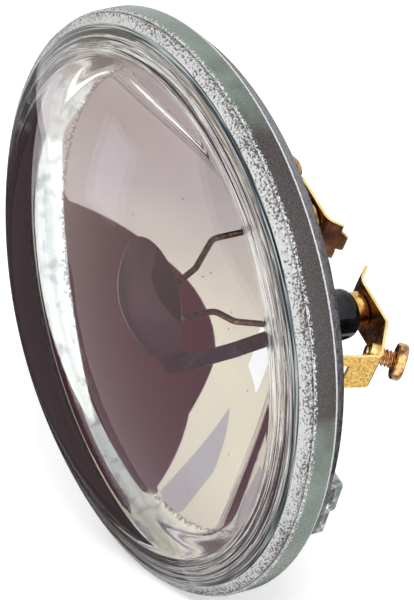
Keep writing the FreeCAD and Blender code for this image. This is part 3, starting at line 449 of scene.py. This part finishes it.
def streaks_and_painted_light():
    """The lens near its edge: wavy streaks that run round it, painted in bands of dark, white, lilac and
    cream that stand for the shade and light the thick edge refracts and reflects, and a green line where it
    meets the melt."""
    material, shader, node, link = new_material("streaks_and_painted_light")
    shader.inputs["IOR"].default_value = GLASS_IOR
    place = node("ShaderNodeTexCoord").outputs["Object"]
    radius = from_axis(node, place)
    streaks = around(node, place, 2300.0, 1.1)
    # painted reflections and shade: near-black, white, lilac and cream bands along the streaks
    lines = ramp(node, streaks, [(0.39, (0.030, 0.022, 0.022)), (0.415, (0.26, 0.23, 0.25)),
                                 (0.43, (0.98, 0.98, 0.98)), (0.495, (0.98, 0.98, 0.98)),
                                 (0.51, (0.97, 0.97, 0.98)), (0.54, (0.92, 0.92, 0.92)),
                                 (0.56, (0.05, 0.038, 0.035)), (0.585, (0.36, 0.32, 0.36)),
                                 (0.61, (0.92, 0.84, 0.70)), (0.65, (0.10, 0.075, 0.065))])
    # where the painted bands lie, the glass lets less light through
    painted_band_cover = ramp(node, streaks, [(0.39, (0.85, 0.85, 0.85)), (0.42, (0, 0, 0)), (0.485, (0, 0, 0)),
                                   (0.505, (0.95, 0.95, 0.95)), (0.53, (0.2, 0.2, 0.2)),
                                   (0.555, (0.85, 0.85, 0.85)), (0.585, (0.2, 0.2, 0.2)),
                                   (0.61, (0.9, 0.9, 0.9))])
    zone = stretch(node, radius, STREAKS_FROM, STREAKS_FROM + 0.0003)
    streaked = mixed(node, zone, (0.99, 0.99, 0.99, 1), lines)
    green = stretch(node, radius, GROOVE_FROM, GROOVE_FROM + 0.0002)
    fine = around(node, place, 2600.0, 3.0)
    groove = ramp(node, fine, [(0.42, (0.022, 0.028, 0.030)), (0.49, (0.13, 0.17, 0.18)),
                               (0.57, (0.60, 0.64, 0.65))])
    link(mixed(node, green, streaked, groove), shader.inputs["Base Color"])
    cover = node("ShaderNodeMath", {0: painted_band_cover, 1: zone}, operation="MULTIPLY")
    opaque = node("ShaderNodeMath", {0: cover.outputs[0], 1: stretch(node, green, 0.0, 1.0, 0.0, 0.6)},
                  operation="MAXIMUM")
    link(stretch(node, opaque.outputs[0], 0.0, 1.0, 1.0, 0.0), shader.inputs["Transmission Weight"])
    link(scratched(node, place), shader.inputs["Roughness"])
    bump = node("ShaderNodeBump", {"Strength": 0.25, "Distance": 0.0003, "Height": streaks})
    link(bump.outputs["Normal"], shader.inputs["Normal"])
    painted_bounce_glow(material, shader, node, link, LENS_GLOW)
    return material


def melted_edge():
    """The melted edge: white and rough, and more and more pitted with dark grains towards the seam."""
    material, shader, node, link = new_material("melted_edge")
    place = node("ShaderNodeTexCoord").outputs["Object"]
    grain = node("ShaderNodeTexNoise", {"Vector": place, "Scale": 2300.0, "Detail": 3.0, "Roughness": 0.6})
    broad = node("ShaderNodeTexNoise", {"Vector": place, "Scale": 120.0, "Detail": 2.0})
    pits = stretch(node, from_axis(node, place), FROST_FROM, LENS_EDGE, 0.095, -0.005)
    patchy = node("ShaderNodeMath", {0: pits, 1: stretch(node, broad.outputs["Fac"], 0.3, 0.7, -0.05, 0.05)},
                  operation="ADD")
    level = node("ShaderNodeMath", {0: grain.outputs["Fac"], 1: patchy.outputs[0]}, operation="ADD")
    tint = ramp(node, level.outputs[0], [(0.44, (0.10, 0.09, 0.085)), (0.49, (0.42, 0.40, 0.37)),
                                         (0.54, (0.78, 0.79, 0.80))])
    link(tint, shader.inputs["Base Color"])
    shader.inputs["Transmission Weight"].default_value = 0.15
    shader.inputs["IOR"].default_value = GLASS_IOR
    shader.inputs["Roughness"].default_value = 0.4
    bump = node("ShaderNodeBump", {"Strength": 0.6, "Distance": 0.0003, "Height": grain.outputs["Fac"]})
    link(bump.outputs["Normal"], shader.inputs["Normal"])
    return material


bm = bmesh.new()
outer_dome = dome(LENS_FRONT, LENS_EDGE, SEAM - LENS_LAND)
inner_dome = dome(LENS_FRONT + LENS_WALL, MOUTH_RADIUS, SEAM)
front_line = [(FROST_FROM * k / 60, outer_dome(FROST_FROM * k / 60)) for k in range(61)]
edge_steps = 8
for k in range(1, edge_steps + 1):
    radius = FROST_FROM + (LENS_EDGE - FROST_FROM) * k / edge_steps
    front_line.append((radius, outer_dome(radius) + 0.00012 * math.sin(math.pi * k / edge_steps) ** 2))
back_line = [(RINGS_FROM * k / 52, inner_dome(RINGS_FROM * k / 52)) for k in range(53)]
ring_steps = 60
for k in range(1, ring_steps + 1):
    t = k / ring_steps
    radius = RINGS_FROM + (RINGS_TO - RINGS_FROM) * t
    flare = inner_dome(RINGS_FROM) + (SEAM + MELT - inner_dome(RINGS_FROM)) * math.sin(t * math.pi / 2) ** 1.1
    rings = sum(height * math.sin(t * count * math.tau) for height, count in RINGS) * math.sin(math.pi * t)
    back_line.append((radius, min(flare + rings, SEAM + MELT)))
front = chain(bm, front_line)
behind = chain(bm, back_line)
corner = bm.verts.new((LENS_EDGE, SEAM + MELT, 0))
bm.edges.new((front[-1], corner))
bm.edges.new((corner, behind[-1]))
spun(bm, ROUND_STEPS)
for face in bm.faces:
    middle = face.calc_center_median()
    radius = math.hypot(middle.x, middle.z)
    if radius > FROST_FROM:
        face.material_index = 2
    elif radius > STREAKS_FROM - 0.0002 and middle.y < outer_dome(radius) + 0.0004:
        face.material_index = 1
lens = piece("clear_lens", bm, [
    lens_glass(),
    streaks_and_painted_light(),
    melted_edge(),
])
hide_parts("lens")


# The metal parts as they come from the frame, each in its own finish.


def plain_metal(name, dull, bright, roughness, scale=420.0):
    """A metal that goes from a dull to a bright tone in small clouds, with specks and a fine grain."""
    material, shader, node, link = new_material(name)
    shader.inputs["Metallic"].default_value = 1.0
    place = node("ShaderNodeTexCoord").outputs["Object"]
    cloud = node("ShaderNodeTexNoise", {"Vector": place, "Scale": scale, "Detail": 5.0, "Roughness": 0.6})
    tint = ramp(node, cloud.outputs["Fac"], [(0.38, dull), (0.62, bright)])
    link(tint, shader.inputs["Base Color"])
    rough = node("ShaderNodeMapRange", {"Value": cloud.outputs["Fac"], "To Min": roughness * 1.5,
                                        "To Max": roughness * 0.6})
    link(rough.outputs["Result"], shader.inputs["Roughness"])
    bump = node("ShaderNodeBump", {"Strength": 0.12, "Distance": 0.0002, "Height": cloud.outputs["Fac"]})
    link(bump.outputs["Normal"], shader.inputs["Normal"])
    return material


golden = plain_metal("ferrule_metal", (0.42, 0.17, 0.045), (0.95, 0.64, 0.20), 0.16)
# the last colour is the tube's painted glow past two glossy bounces
tube = clear_glass("tube_glass", (0.9, 0.93, 0.92), 0.05, 0.1, (0.4, 0.42, 0.4))


def dress(name, finish):
    """A piece that keeps the frame's own mesh gets its finish."""
    nodes[name].data.materials.clear()
    nodes[name].data.materials.append(finish)


def merged_copy(name):
    """The mesh of a piece of the frame, with its loose triangles joined up."""
    bm = bmesh.new()
    bm.from_mesh(nodes[name].data)
    bmesh.ops.remove_doubles(bm, verts=bm.verts, dist=1e-7)
    return bm


for name in ("ferrule_lower", "ferrule_upper", "braze_lower", "braze_upper"):
    dress(name, golden)
dress("exhaust_tube", tube)


# The terminals: strips of sheet brass, folded and soldered on the ferrules. Their faces are gold, and darker
# # red-brown near the ferrules: tarnish, and painted shade for the dark bowl they reflect. The edges, freshly
# cut by
# # the press tool, are bright: fresh brass with a painted highlight.

STRIP_ANGLE = math.radians(-31.4)


def folded_brass():
    """Rolled brass: gold with fine specks, darker red-brown near the ferrules (tarnish and painted shade),
    with bright cut edges (fresh brass and a painted highlight)."""
    material, shader, node, link = new_material("terminal_brass")
    shader.inputs["Metallic"].default_value = 1.0
    place = node("ShaderNodeTexCoord").outputs["Object"]
    speck = node("ShaderNodeTexNoise", {"Vector": place, "Scale": 1900.0, "Detail": 4.0, "Roughness": 0.7})
    cloud = node("ShaderNodeTexNoise", {"Vector": place, "Scale": 260.0, "Detail": 4.0})
    gold = ramp(node, speck.outputs["Fac"], [(0.34, (0.30, 0.13, 0.03)), (0.45, (0.66, 0.39, 0.09)),
                                             (0.56, (0.86, 0.57, 0.16)), (0.68, (1.0, 0.78, 0.36))])
    # near the ferrules: tarnish and painted shade, standing for the dark bowl the faces reflect
    tarnish_and_painted_shade = ramp(node, cloud.outputs["Fac"], [(0.35, (0.060, 0.024, 0.016)), (0.55, (0.155, 0.062, 0.034)),
                                              (0.72, (0.34, 0.16, 0.06))])
    flat = node("ShaderNodeVectorMath", {0: place, 1: (1, 0, 1)}, operation="MULTIPLY").outputs["Vector"]
    lower = node("ShaderNodeVectorMath", {0: flat, 1: on_ferrule(1)}, operation="DISTANCE").outputs["Value"]
    upper = node("ShaderNodeVectorMath", {0: flat, 1: on_ferrule(-1)}, operation="DISTANCE").outputs["Value"]
    away = node("ShaderNodeMath", {0: lower, 1: upper}, operation="MINIMUM")
    wander = stretch(node, cloud.outputs["Fac"], 0.3, 0.7, -0.0008, 0.0008)
    drift = node("ShaderNodeMath", {0: away.outputs[0], 1: wander}, operation="ADD")
    face = mixed(node, stretch(node, drift.outputs[0], 0.0078, 0.0098), tarnish_and_painted_shade, gold)
    normal = node("ShaderNodeNewGeometry").outputs["True Normal"]
    across = (-math.sin(STRIP_ANGLE), 0, math.cos(STRIP_ANGLE))
    turned = node("ShaderNodeVectorMath", {0: normal, 1: across}, operation="DOT_PRODUCT")
    cut_edge_and_highlight = node("ShaderNodeMath", {0: turned.outputs["Value"]}, operation="ABSOLUTE")
    share = stretch(node, cut_edge_and_highlight.outputs[0], 0.75, 0.9)
    # the cut edges: fresh brass, brightened further as a painted highlight
    bright = ramp(node, cloud.outputs["Fac"], [(0.35, (0.86, 0.60, 0.20)), (0.6, (1.0, 0.82, 0.38))])
    link(mixed(node, share, face, bright), shader.inputs["Base Color"])
    link(stretch(node, speck.outputs["Fac"], 0.3, 0.7, 0.36, 0.14), shader.inputs["Roughness"])
    bump = node("ShaderNodeBump", {"Strength": 0.3, "Distance": 0.00015, "Height": speck.outputs["Fac"]})
    link(bump.outputs["Normal"], shader.inputs["Normal"])
    return material


brass = folded_brass()
dress("terminal_lower", brass)
dress("terminal_upper", brass)


# The terminal screws: turned brass with a rolled thread and a slotted head, tarnished to copper. Each
# stands in the drawn collar of its terminal, left a few turns out.

SCREW_RADIUS = 0.00175
SCREW_ROOT = 0.00140
RIDGE_FOOT = SCREW_ROOT - 0.00005
SCREW_TIP = -0.00225
THREAD_PITCH = 0.0007
HEAD_BASE = 0.00365
HEAD_TOP = 0.00565
HEAD_RADIUS = 0.0036
DRIVE_WIDTH = 0.0009
DRIVE_DEPTH = 0.0009
SHEET = 0.00055

copper = plain_metal("screw_brass", (0.20, 0.085, 0.035), (0.72, 0.44, 0.19), 0.16, 600.0)
drive_line = Vector((0.2483, -0.476, -0.8428))
for side, turn in (("lower", 1), ("upper", -1)):
    mount = next(one for one in frame["record"]["mounts"] if one["name"] == "wire_terminal_" + side)
    along = Vector(mount["axis"]).normalized()
    seat = Vector(mount["pos_m"]) - along * SHEET
    drive = Vector((drive_line.x * turn, drive_line.y, drive_line.z * turn))
    drive = (drive - along * drive.dot(along)).normalized()
    stand = Matrix((drive, along.cross(drive), along)).transposed().to_4x4()
    stand.translation = seat

    bm = bmesh.new()
    upright = Matrix.Rotation(math.radians(90), 3, "X")
    chain(bm, [(0, SCREW_TIP), (SCREW_ROOT - 0.0002, SCREW_TIP), (SCREW_ROOT, SCREW_TIP + 0.0002),
               (SCREW_ROOT, HEAD_BASE), (HEAD_RADIUS - 0.0003, HEAD_BASE), (HEAD_RADIUS, HEAD_BASE + 0.0003),
               (HEAD_RADIUS, HEAD_TOP - DRIVE_DEPTH), (0, HEAD_TOP - DRIVE_DEPTH)])
    spun(bm, 64)
    bmesh.ops.rotate(bm, verts=bm.verts, cent=(0, 0, 0), matrix=upright)
    for way in (1, -1):
        half = bmesh.new()
        rounding = [(HEAD_RADIUS - 0.0005 + 0.0005 * math.sin(math.radians(a)),
                     HEAD_TOP - 0.0005 + 0.0005 * math.cos(math.radians(a))) for a in range(90, -1, -15)]
        floor_level = HEAD_TOP - DRIVE_DEPTH
        chain(half, [(0, floor_level), (HEAD_RADIUS, floor_level)] + rounding + [(0, HEAD_TOP)])
        spun(half, 64)
        bmesh.ops.rotate(half, verts=half.verts, cent=(0, 0, 0), matrix=upright)
        bmesh.ops.bisect_plane(half, geom=half.verts[:] + half.edges[:] + half.faces[:], dist=1e-7,
                               plane_co=(0, way * DRIVE_WIDTH / 2, 0), plane_no=(0, way, 0), clear_inner=True)
        bmesh.ops.holes_fill(half, edges=[edge for edge in half.edges if edge.is_boundary], sides=0)
        part = bpy.data.meshes.new("half")
        half.to_mesh(part)
        half.free()
        bm.from_mesh(part)
        bpy.data.meshes.remove(part)
    ridge_steps = 32
    turns = int((HEAD_BASE - SCREW_TIP - 0.0002) / THREAD_PITCH)
    ridge = [bm.verts.new((radius, 0, SCREW_TIP + level)) for radius, level in
             ((RIDGE_FOOT, 0.0), (SCREW_RADIUS, 0.00028), (SCREW_RADIUS, 0.00034), (RIDGE_FOOT, 0.00062))]
    face = bm.faces.new(ridge)
    bmesh.ops.spin(bm, geom=[face] + list(face.edges) + ridge, cent=(0, 0, 0), axis=(0, 0, 1),
                   dvec=(0, 0, THREAD_PITCH / ridge_steps), angle=math.tau * turns, steps=ridge_steps * turns)
    bmesh.ops.recalc_face_normals(bm, faces=bm.faces)
    bmesh.ops.transform(bm, matrix=stand, verts=bm.verts)
    screw = piece("slotted_screw_" + side, bm, [copper], "screw_" + side)
    screw.data.set_sharp_from_angle(angle=math.radians(30))
    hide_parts("screw_" + side)


# The leads: round wire, browned by the heat of the coil, brazed in the ferrules and bent by hand.

LEAD_SCALE = 0.00009

brown = plain_metal("lead_metal", (0.035, 0.02, 0.016), (0.17, 0.10, 0.07), 0.32, 900.0)
for side in ("upper", "lower"):
    bm = merged_copy("lead_wire_" + side)
    bm.normal_update()
    for vert in bm.verts:
        vert.co += vert.normal * LEAD_SCALE
    lead = piece("scaled_lead_" + side, bm, [brown])
    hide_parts("lead_wire_" + side)


# The strap: a flat strip of the same metal, blue-grey, with a rounded end that is spot-welded to the ear
# of the cap.

TIP_CORNER = 0.0011
WELD_FROM_TIP = Vector((0.0009, 0.0002, 0.0008))

bm = merged_copy("shield_strap")
bmesh.ops.dissolve_limit(bm, angle_limit=math.radians(1), verts=bm.verts, edges=bm.edges)
short = [edge for edge in bm.edges if 0.0003 < edge.calc_length() < 0.0005]
front_level = min((edge.verts[0].co.y + edge.verts[1].co.y) / 2 for edge in short)
tip_edges = [edge for edge in short if (edge.verts[0].co.y + edge.verts[1].co.y) / 2 < front_level + 0.0006]
tip = sum((vert.co for edge in tip_edges for vert in edge.verts), Vector()) / (2 * len(tip_edges))
bmesh.ops.bevel(bm, geom=tip_edges, offset=TIP_CORNER, offset_type="OFFSET", segments=6, profile=0.5,
                affect="EDGES", material=-1)


def strap_finish(weld):
    """Blue-grey metal with a small melted spot where it was welded."""
    material, shader, node, link = new_material("strap_metal")
    shader.inputs["Metallic"].default_value = 1.0
    place = node("ShaderNodeTexCoord").outputs["Object"]
    cloud = node("ShaderNodeTexNoise", {"Vector": place, "Scale": 500.0, "Detail": 5.0})
    tint = ramp(node, cloud.outputs["Fac"], [(0.35, (0.030, 0.034, 0.052)), (0.65, (0.085, 0.092, 0.13))])
    away = node("ShaderNodeVectorMath", {0: place, 1: weld}, operation="DISTANCE").outputs["Value"]
    outwards = stretch(node, away, 0.0, 0.0012)
    ring = ramp(node, outwards, [(0.0, (0.30, 0.30, 0.36)), (0.45, (0.22, 0.22, 0.27)),
                                 (0.6, (0.012, 0.012, 0.016)), (0.95, (0.03, 0.034, 0.05))])
    inside = node("ShaderNodeMath", {0: away, 1: 0.00105}, operation="LESS_THAN")
    link(mixed(node, inside.outputs[0], tint, ring), shader.inputs["Base Color"])
    link(stretch(node, cloud.outputs["Fac"], 0.3, 0.7, 0.42, 0.25), shader.inputs["Roughness"])
    dent = node("ShaderNodeMath", {0: stretch(node, away, 0.0004, 0.0009), 1: cloud.outputs["Fac"]},
                operation="ADD")
    bump = node("ShaderNodeBump", {"Strength": 0.4, "Distance": 0.0002, "Height": dent.outputs[0]})
    link(bump.outputs["Normal"], shader.inputs["Normal"])
    return material


strap = piece("welded_strap", bm, [strap_finish(tip + WELD_FROM_TIP)])
strap.data.set_sharp_from_angle(angle=math.radians(35))
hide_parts("shield_strap")


# The cap: a dished disc of polished, dark metal in front of the coil, which keeps direct light off the
# stage. Its edge is rounded, and it carries a small ear for the strap.

CAP_RADIUS = 0.0117
CAP_DEPTH = 0.0042
CAP_RIM = -0.00148
CAP_WALL = 0.0004
CAP_MIDDLE = Vector((-0.0008, 0, 0.0012))
EAR_ANGLE = math.radians(39.2)
EAR_MIDDLE = Vector((0.005127, 0.00052, -0.01007))
EAR_SIZE = Vector((0.0004, 0.0054, 0.0036))


def dark_polish():
    """Metal blackened by heat and still polished: purple-brown, with a thin, glassy oxide on top."""
    material, shader, node, link = new_material("shield_metal")
    shader.inputs["Metallic"].default_value = 1.0
    place = node("ShaderNodeTexCoord").outputs["Object"]
    cloud = node("ShaderNodeTexNoise", {"Vector": place, "Scale": 110.0, "Detail": 3.0})
    tint = ramp(node, cloud.outputs["Fac"], [(0.35, (0.026, 0.010, 0.020)), (0.65, (0.060, 0.032, 0.052))])
    link(tint, shader.inputs["Base Color"])
    link(stretch(node, cloud.outputs["Fac"], 0.3, 0.7, 0.14, 0.06), shader.inputs["Roughness"])
    shader.inputs["Specular Tint"].default_value = (0.42, 0.26, 0.40, 1)
    shader.inputs["Coat Weight"].default_value = 0.12
    shader.inputs["Coat Roughness"].default_value = 0.06
    return material


bm = bmesh.new()
cap_steps = 40
dish = [(CAP_RADIUS * k / cap_steps, CAP_RIM - CAP_DEPTH + CAP_DEPTH * (k / cap_steps) ** 2.3)
        for k in range(cap_steps + 1)]
outer = chain(bm, dish)
hollow = chain(bm, [(radius * (1 - CAP_WALL / CAP_RADIUS), min(level + CAP_WALL, CAP_RIM))
                    for radius, level in dish])
bm.edges.new((outer[-1], hollow[-1]))
bmesh.ops.bevel(bm, geom=[outer[-1], hollow[-1]], offset=0.00015, offset_type="OFFSET", segments=3,
                profile=0.5, affect="VERTICES", material=-1)
spun(bm, 96)
bmesh.ops.translate(bm, verts=bm.verts, vec=CAP_MIDDLE)
ear = bmesh.ops.create_cube(bm, size=1.0)["verts"]
bmesh.ops.scale(bm, vec=EAR_SIZE, verts=ear)
rounded = [edge for edge in {edge for vert in ear for edge in vert.link_edges}
           if abs(edge.verts[0].co.x - edge.verts[1].co.x) > EAR_SIZE.x / 2]
bmesh.ops.rotate(bm, verts=ear, cent=(0, 0, 0), matrix=Matrix.Rotation(-EAR_ANGLE, 3, "Y"))
bmesh.ops.translate(bm, verts=ear, vec=EAR_MIDDLE)
bmesh.ops.bevel(bm, geom=rounded, offset=0.0007, offset_type="OFFSET", segments=4, profile=0.5,
                affect="EDGES", material=-1)
cap = piece("polished_cap", bm, [dark_polish()])
cap.data.set_sharp_from_angle(angle=math.radians(40))
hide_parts("filament_shield")


# The coil: fine tungsten wire wound on a mandrel, welded between the two leads behind the cap.

COIL_MIDDLE = Vector((-0.00025, 0.00412, -0.0006))
COIL_LINE = Vector((-0.4035, 0, 0.915))
COIL_RADIUS = 0.00045
COIL_WIRE = 0.00005
COIL_TURNS = 15
COIL_LENGTH = 0.0032
COIL_LEG = 0.0004

tungsten = plain_metal("tungsten", (0.20, 0.19, 0.19), (0.40, 0.39, 0.38), 0.4, 2000.0)
bm = bmesh.new()
around_wire = bmesh.ops.create_circle(bm, cap_ends=False, segments=6, radius=COIL_WIRE)["verts"]
bmesh.ops.rotate(bm, verts=around_wire, cent=(0, 0, 0), matrix=Matrix.Rotation(math.radians(90), 3, "X"))
bmesh.ops.translate(bm, verts=around_wire, vec=(COIL_RADIUS, 0, -COIL_LENGTH / 2))
coil_steps = 20
bmesh.ops.spin(bm, geom=around_wire + list({edge for vert in around_wire for edge in vert.link_edges}),
               cent=(0, 0, 0), axis=(0, 0, 1), dvec=(0, 0, COIL_LENGTH / COIL_TURNS / coil_steps),
               angle=math.tau * COIL_TURNS, steps=coil_steps * COIL_TURNS)
for end in (-1, 1):
    leg = bmesh.ops.create_cone(bm, cap_ends=True, segments=8, radius1=COIL_WIRE, radius2=COIL_WIRE,
                                depth=COIL_LEG + 0.0001)["verts"]
    bmesh.ops.translate(bm, verts=leg, vec=(COIL_RADIUS * 0.9, 0, end * (COIL_LENGTH + COIL_LEG) / 2))
bmesh.ops.holes_fill(bm, edges=[edge for edge in bm.edges if edge.is_boundary], sides=0)
bmesh.ops.recalc_face_normals(bm, faces=bm.faces)
side_line = Vector((0, 1, 0)).cross(COIL_LINE).normalized()
stand = Matrix((side_line, COIL_LINE.cross(side_line), COIL_LINE.normalized())).transposed().to_4x4()
stand.translation = COIL_MIDDLE
bmesh.ops.transform(bm, matrix=stand, verts=bm.verts)
coil = piece("wound_coil", bm, [tungsten])
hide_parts("filament")


# The surroundings: a white world and floor, dark and pale screens that only show in the glass and the
# metal, one soft lamp, and the camera.

AZIMUTH = math.radians(59.0745)
ELEVATION = math.radians(22.3616)
DISTANCE = 0.78718
AIM = Vector((0, 0.0023, 0))
ASIDE = 0.006127

back = Vector((math.sin(AZIMUTH) * math.cos(ELEVATION), -math.cos(AZIMUTH) * math.cos(ELEVATION),
               math.sin(ELEVATION)))
right = Vector((math.cos(AZIMUTH), math.sin(AZIMUTH), 0))
camera_data = bpy.data.cameras.new("camera")
camera_data.lens = 251.92
camera_data.sensor_width = 36.0
camera_data.clip_start = 0.05
camera_data.clip_end = 50
camera = bpy.data.objects.new("camera", camera_data)
bpy.context.scene.collection.objects.link(camera)
camera.location = AIM + back * DISTANCE
camera.rotation_euler = (AIM + right * ASIDE - camera.location).to_track_quat("-Z", "Y").to_euler()
bpy.context.scene.camera = camera


def shown_white(tree):
    """1 for what the camera sees, straight or through and in glass and metal, and 0 for plain light."""
    path = tree.nodes.new("ShaderNodeLightPath")
    one = tree.nodes.new("ShaderNodeMath")
    two = tree.nodes.new("ShaderNodeMath")
    one.operation = two.operation = "MAXIMUM"
    tree.links.new(path.outputs["Is Camera Ray"], one.inputs[0])
    tree.links.new(path.outputs["Is Glossy Ray"], one.inputs[1])
    tree.links.new(one.outputs[0], two.inputs[0])
    tree.links.new(path.outputs["Is Transmission Ray"], two.inputs[1])
    return two.outputs[0]


def ranged(tree, value, low, high):
    """That value, stretched from low to high."""
    made = tree.nodes.new("ShaderNodeMapRange")
    tree.links.new(value, made.inputs["Value"])
    made.inputs["To Min"].default_value = low
    made.inputs["To Max"].default_value = high
    return made.outputs["Result"]


world = bpy.data.worlds.new("studio")
world.use_nodes = True
background = world.node_tree.nodes["Background"]
world.node_tree.links.new(ranged(world.node_tree, shown_white(world.node_tree), 0.6, 1.0),
                          background.inputs["Strength"])
background.inputs["Color"].default_value = (1, 1, 1, 1)
bpy.context.scene.world = world

bm = bmesh.new()
bmesh.ops.create_grid(bm, x_segments=1, y_segments=1, size=4.0)
bmesh.ops.translate(bm, verts=bm.verts, vec=(0, 0, -RIM_RADIUS - 0.0001))
mesh = bpy.data.meshes.new("floor")
bm.to_mesh(mesh)
bm.free()
floor = bpy.data.objects.new("floor", mesh)
bpy.context.scene.collection.objects.link(floor)
material, shader, node, link = new_material("floor_paint")
shader.inputs["Base Color"].default_value = (0.9, 0.9, 0.9, 1)
shader.inputs["Roughness"].default_value = 0.9
shader.inputs["Emission Color"].default_value = (1, 1, 1, 1)
tree = material.node_tree
link(ranged(tree, shown_white(tree), 0.0, 0.45), shader.inputs["Emission Strength"])
mesh.materials.append(material)
floor.visible_glossy = False
floor.visible_transmission = False


def screen(name, far, corners, colors):
    """A flat screen, unseen by the camera, whose corners are directions in degrees from the lamp's front.
    Its colours pass into each other from the bottom to the top, each with its height."""
    bm = bmesh.new()
    verts = []
    for side, height in corners:
        side, height = math.radians(side), math.radians(height)
        verts.append(bm.verts.new((far * math.sin(side) * math.cos(height),
                                   -far * math.cos(side) * math.cos(height), far * math.sin(height))))
    bm.faces.new(verts)
    bmesh.ops.triangulate(bm, faces=bm.faces)
    bmesh.ops.recalc_face_normals(bm, faces=bm.faces)
    mesh = bpy.data.meshes.new(name)
    bm.to_mesh(mesh)
    bm.free()
    material, shader, node, link = new_material(name)
    shader.inputs["Base Color"].default_value = (0, 0, 0, 1)
    shader.inputs["Specular IOR Level"].default_value = 0.0
    place = node("ShaderNodeTexCoord").outputs["Object"]
    level = node("ShaderNodeSeparateXYZ", {"Vector": place}).outputs["Z"]
    low, high = min(colors)[0], max(colors)[0] + 0.001
    share = stretch(node, level, low, high)
    stops = [((height - low) / (high - low), color) for height, color in colors]
    link(ramp(node, share, stops), shader.inputs["Emission Color"])
    shader.inputs["Emission Strength"].default_value = 1.0
    mesh.materials.append(material)
    card = bpy.data.objects.new(name, mesh)
    bpy.context.scene.collection.objects.link(card)
    card.visible_camera = False
    card.visible_diffuse = False
    card.visible_shadow = False


screen("dark_wall", 1.2, [(-48, 48), (-46, 31), (-30, 25), (-25, 12), (-18, 5), (-7, -5), (5, -15), (20, -30),
                          (27, -36), (27, 0), (27, 30), (27, 48)],
       [(-0.6, (0.044, 0.000, 0.012)), (0.8, (0.064, 0.010, 0.024))])
screen("dark_side", 1.6, [(-165, -46), (-115, -48), (-63, -46), (-63, -14), (-80, -9), (-120, -8),
                          (-165, -8)],
       [(-1.2, (0.030, 0.018, 0.020)), (0.9, (0.045, 0.030, 0.034))])
screen("pale_wall", 3.0, [(-78, -62), (-25, -62), (27, -62), (27, -30), (-12, -15), (-12, 50), (-78, 50)],
       [(-2.6, (0.50, 0.42, 0.42)), (-1.3, (0.64, 0.56, 0.58)), (-0.5, (0.84, 0.76, 0.70)),
        (0.3, (1.10, 1.03, 0.83)), (1.4, (0.92, 0.87, 0.78))])
screen("white_screen", 2.6, [(28, -62), (75, -62), (120, -62), (120, 62), (75, 62), (28, 62)],
       [(-2.0, (1.80, 1.86, 1.88)), (2.0, (1.90, 1.90, 1.84))])
screen("flare", 0.9, [(-56, -6), (-44, -6), (-44, 6), (-56, 6)],
       [(-0.1, (1.35, 1.37, 1.4)), (0.1, (1.4, 1.42, 1.45))])
screen("lilac_patch", 0.9, [(-60, 17), (-46, 15), (-46, 29), (-60, 29)],
       [(0.2, (0.66, 0.64, 0.66)), (0.4, (0.60, 0.58, 0.62))])


def soft_lamp(name, place, target, width, watts):
    """A square lamp that faces a point."""
    data = bpy.data.lights.new(name, "AREA")
    data.size = width
    data.energy = watts
    lamp = bpy.data.objects.new(name, data)
    bpy.context.scene.collection.objects.link(lamp)
    lamp.location = place
    lamp.visible_glossy = False
    lamp.rotation_euler = (Vector(target) - Vector(place)).to_track_quat("-Z", "Y").to_euler()


soft_lamp("key_lamp", (1.1, -0.5, 1.2), (0, 0, 0), 0.5, 14)

bpy.context.scene.view_settings.view_transform = "Standard"
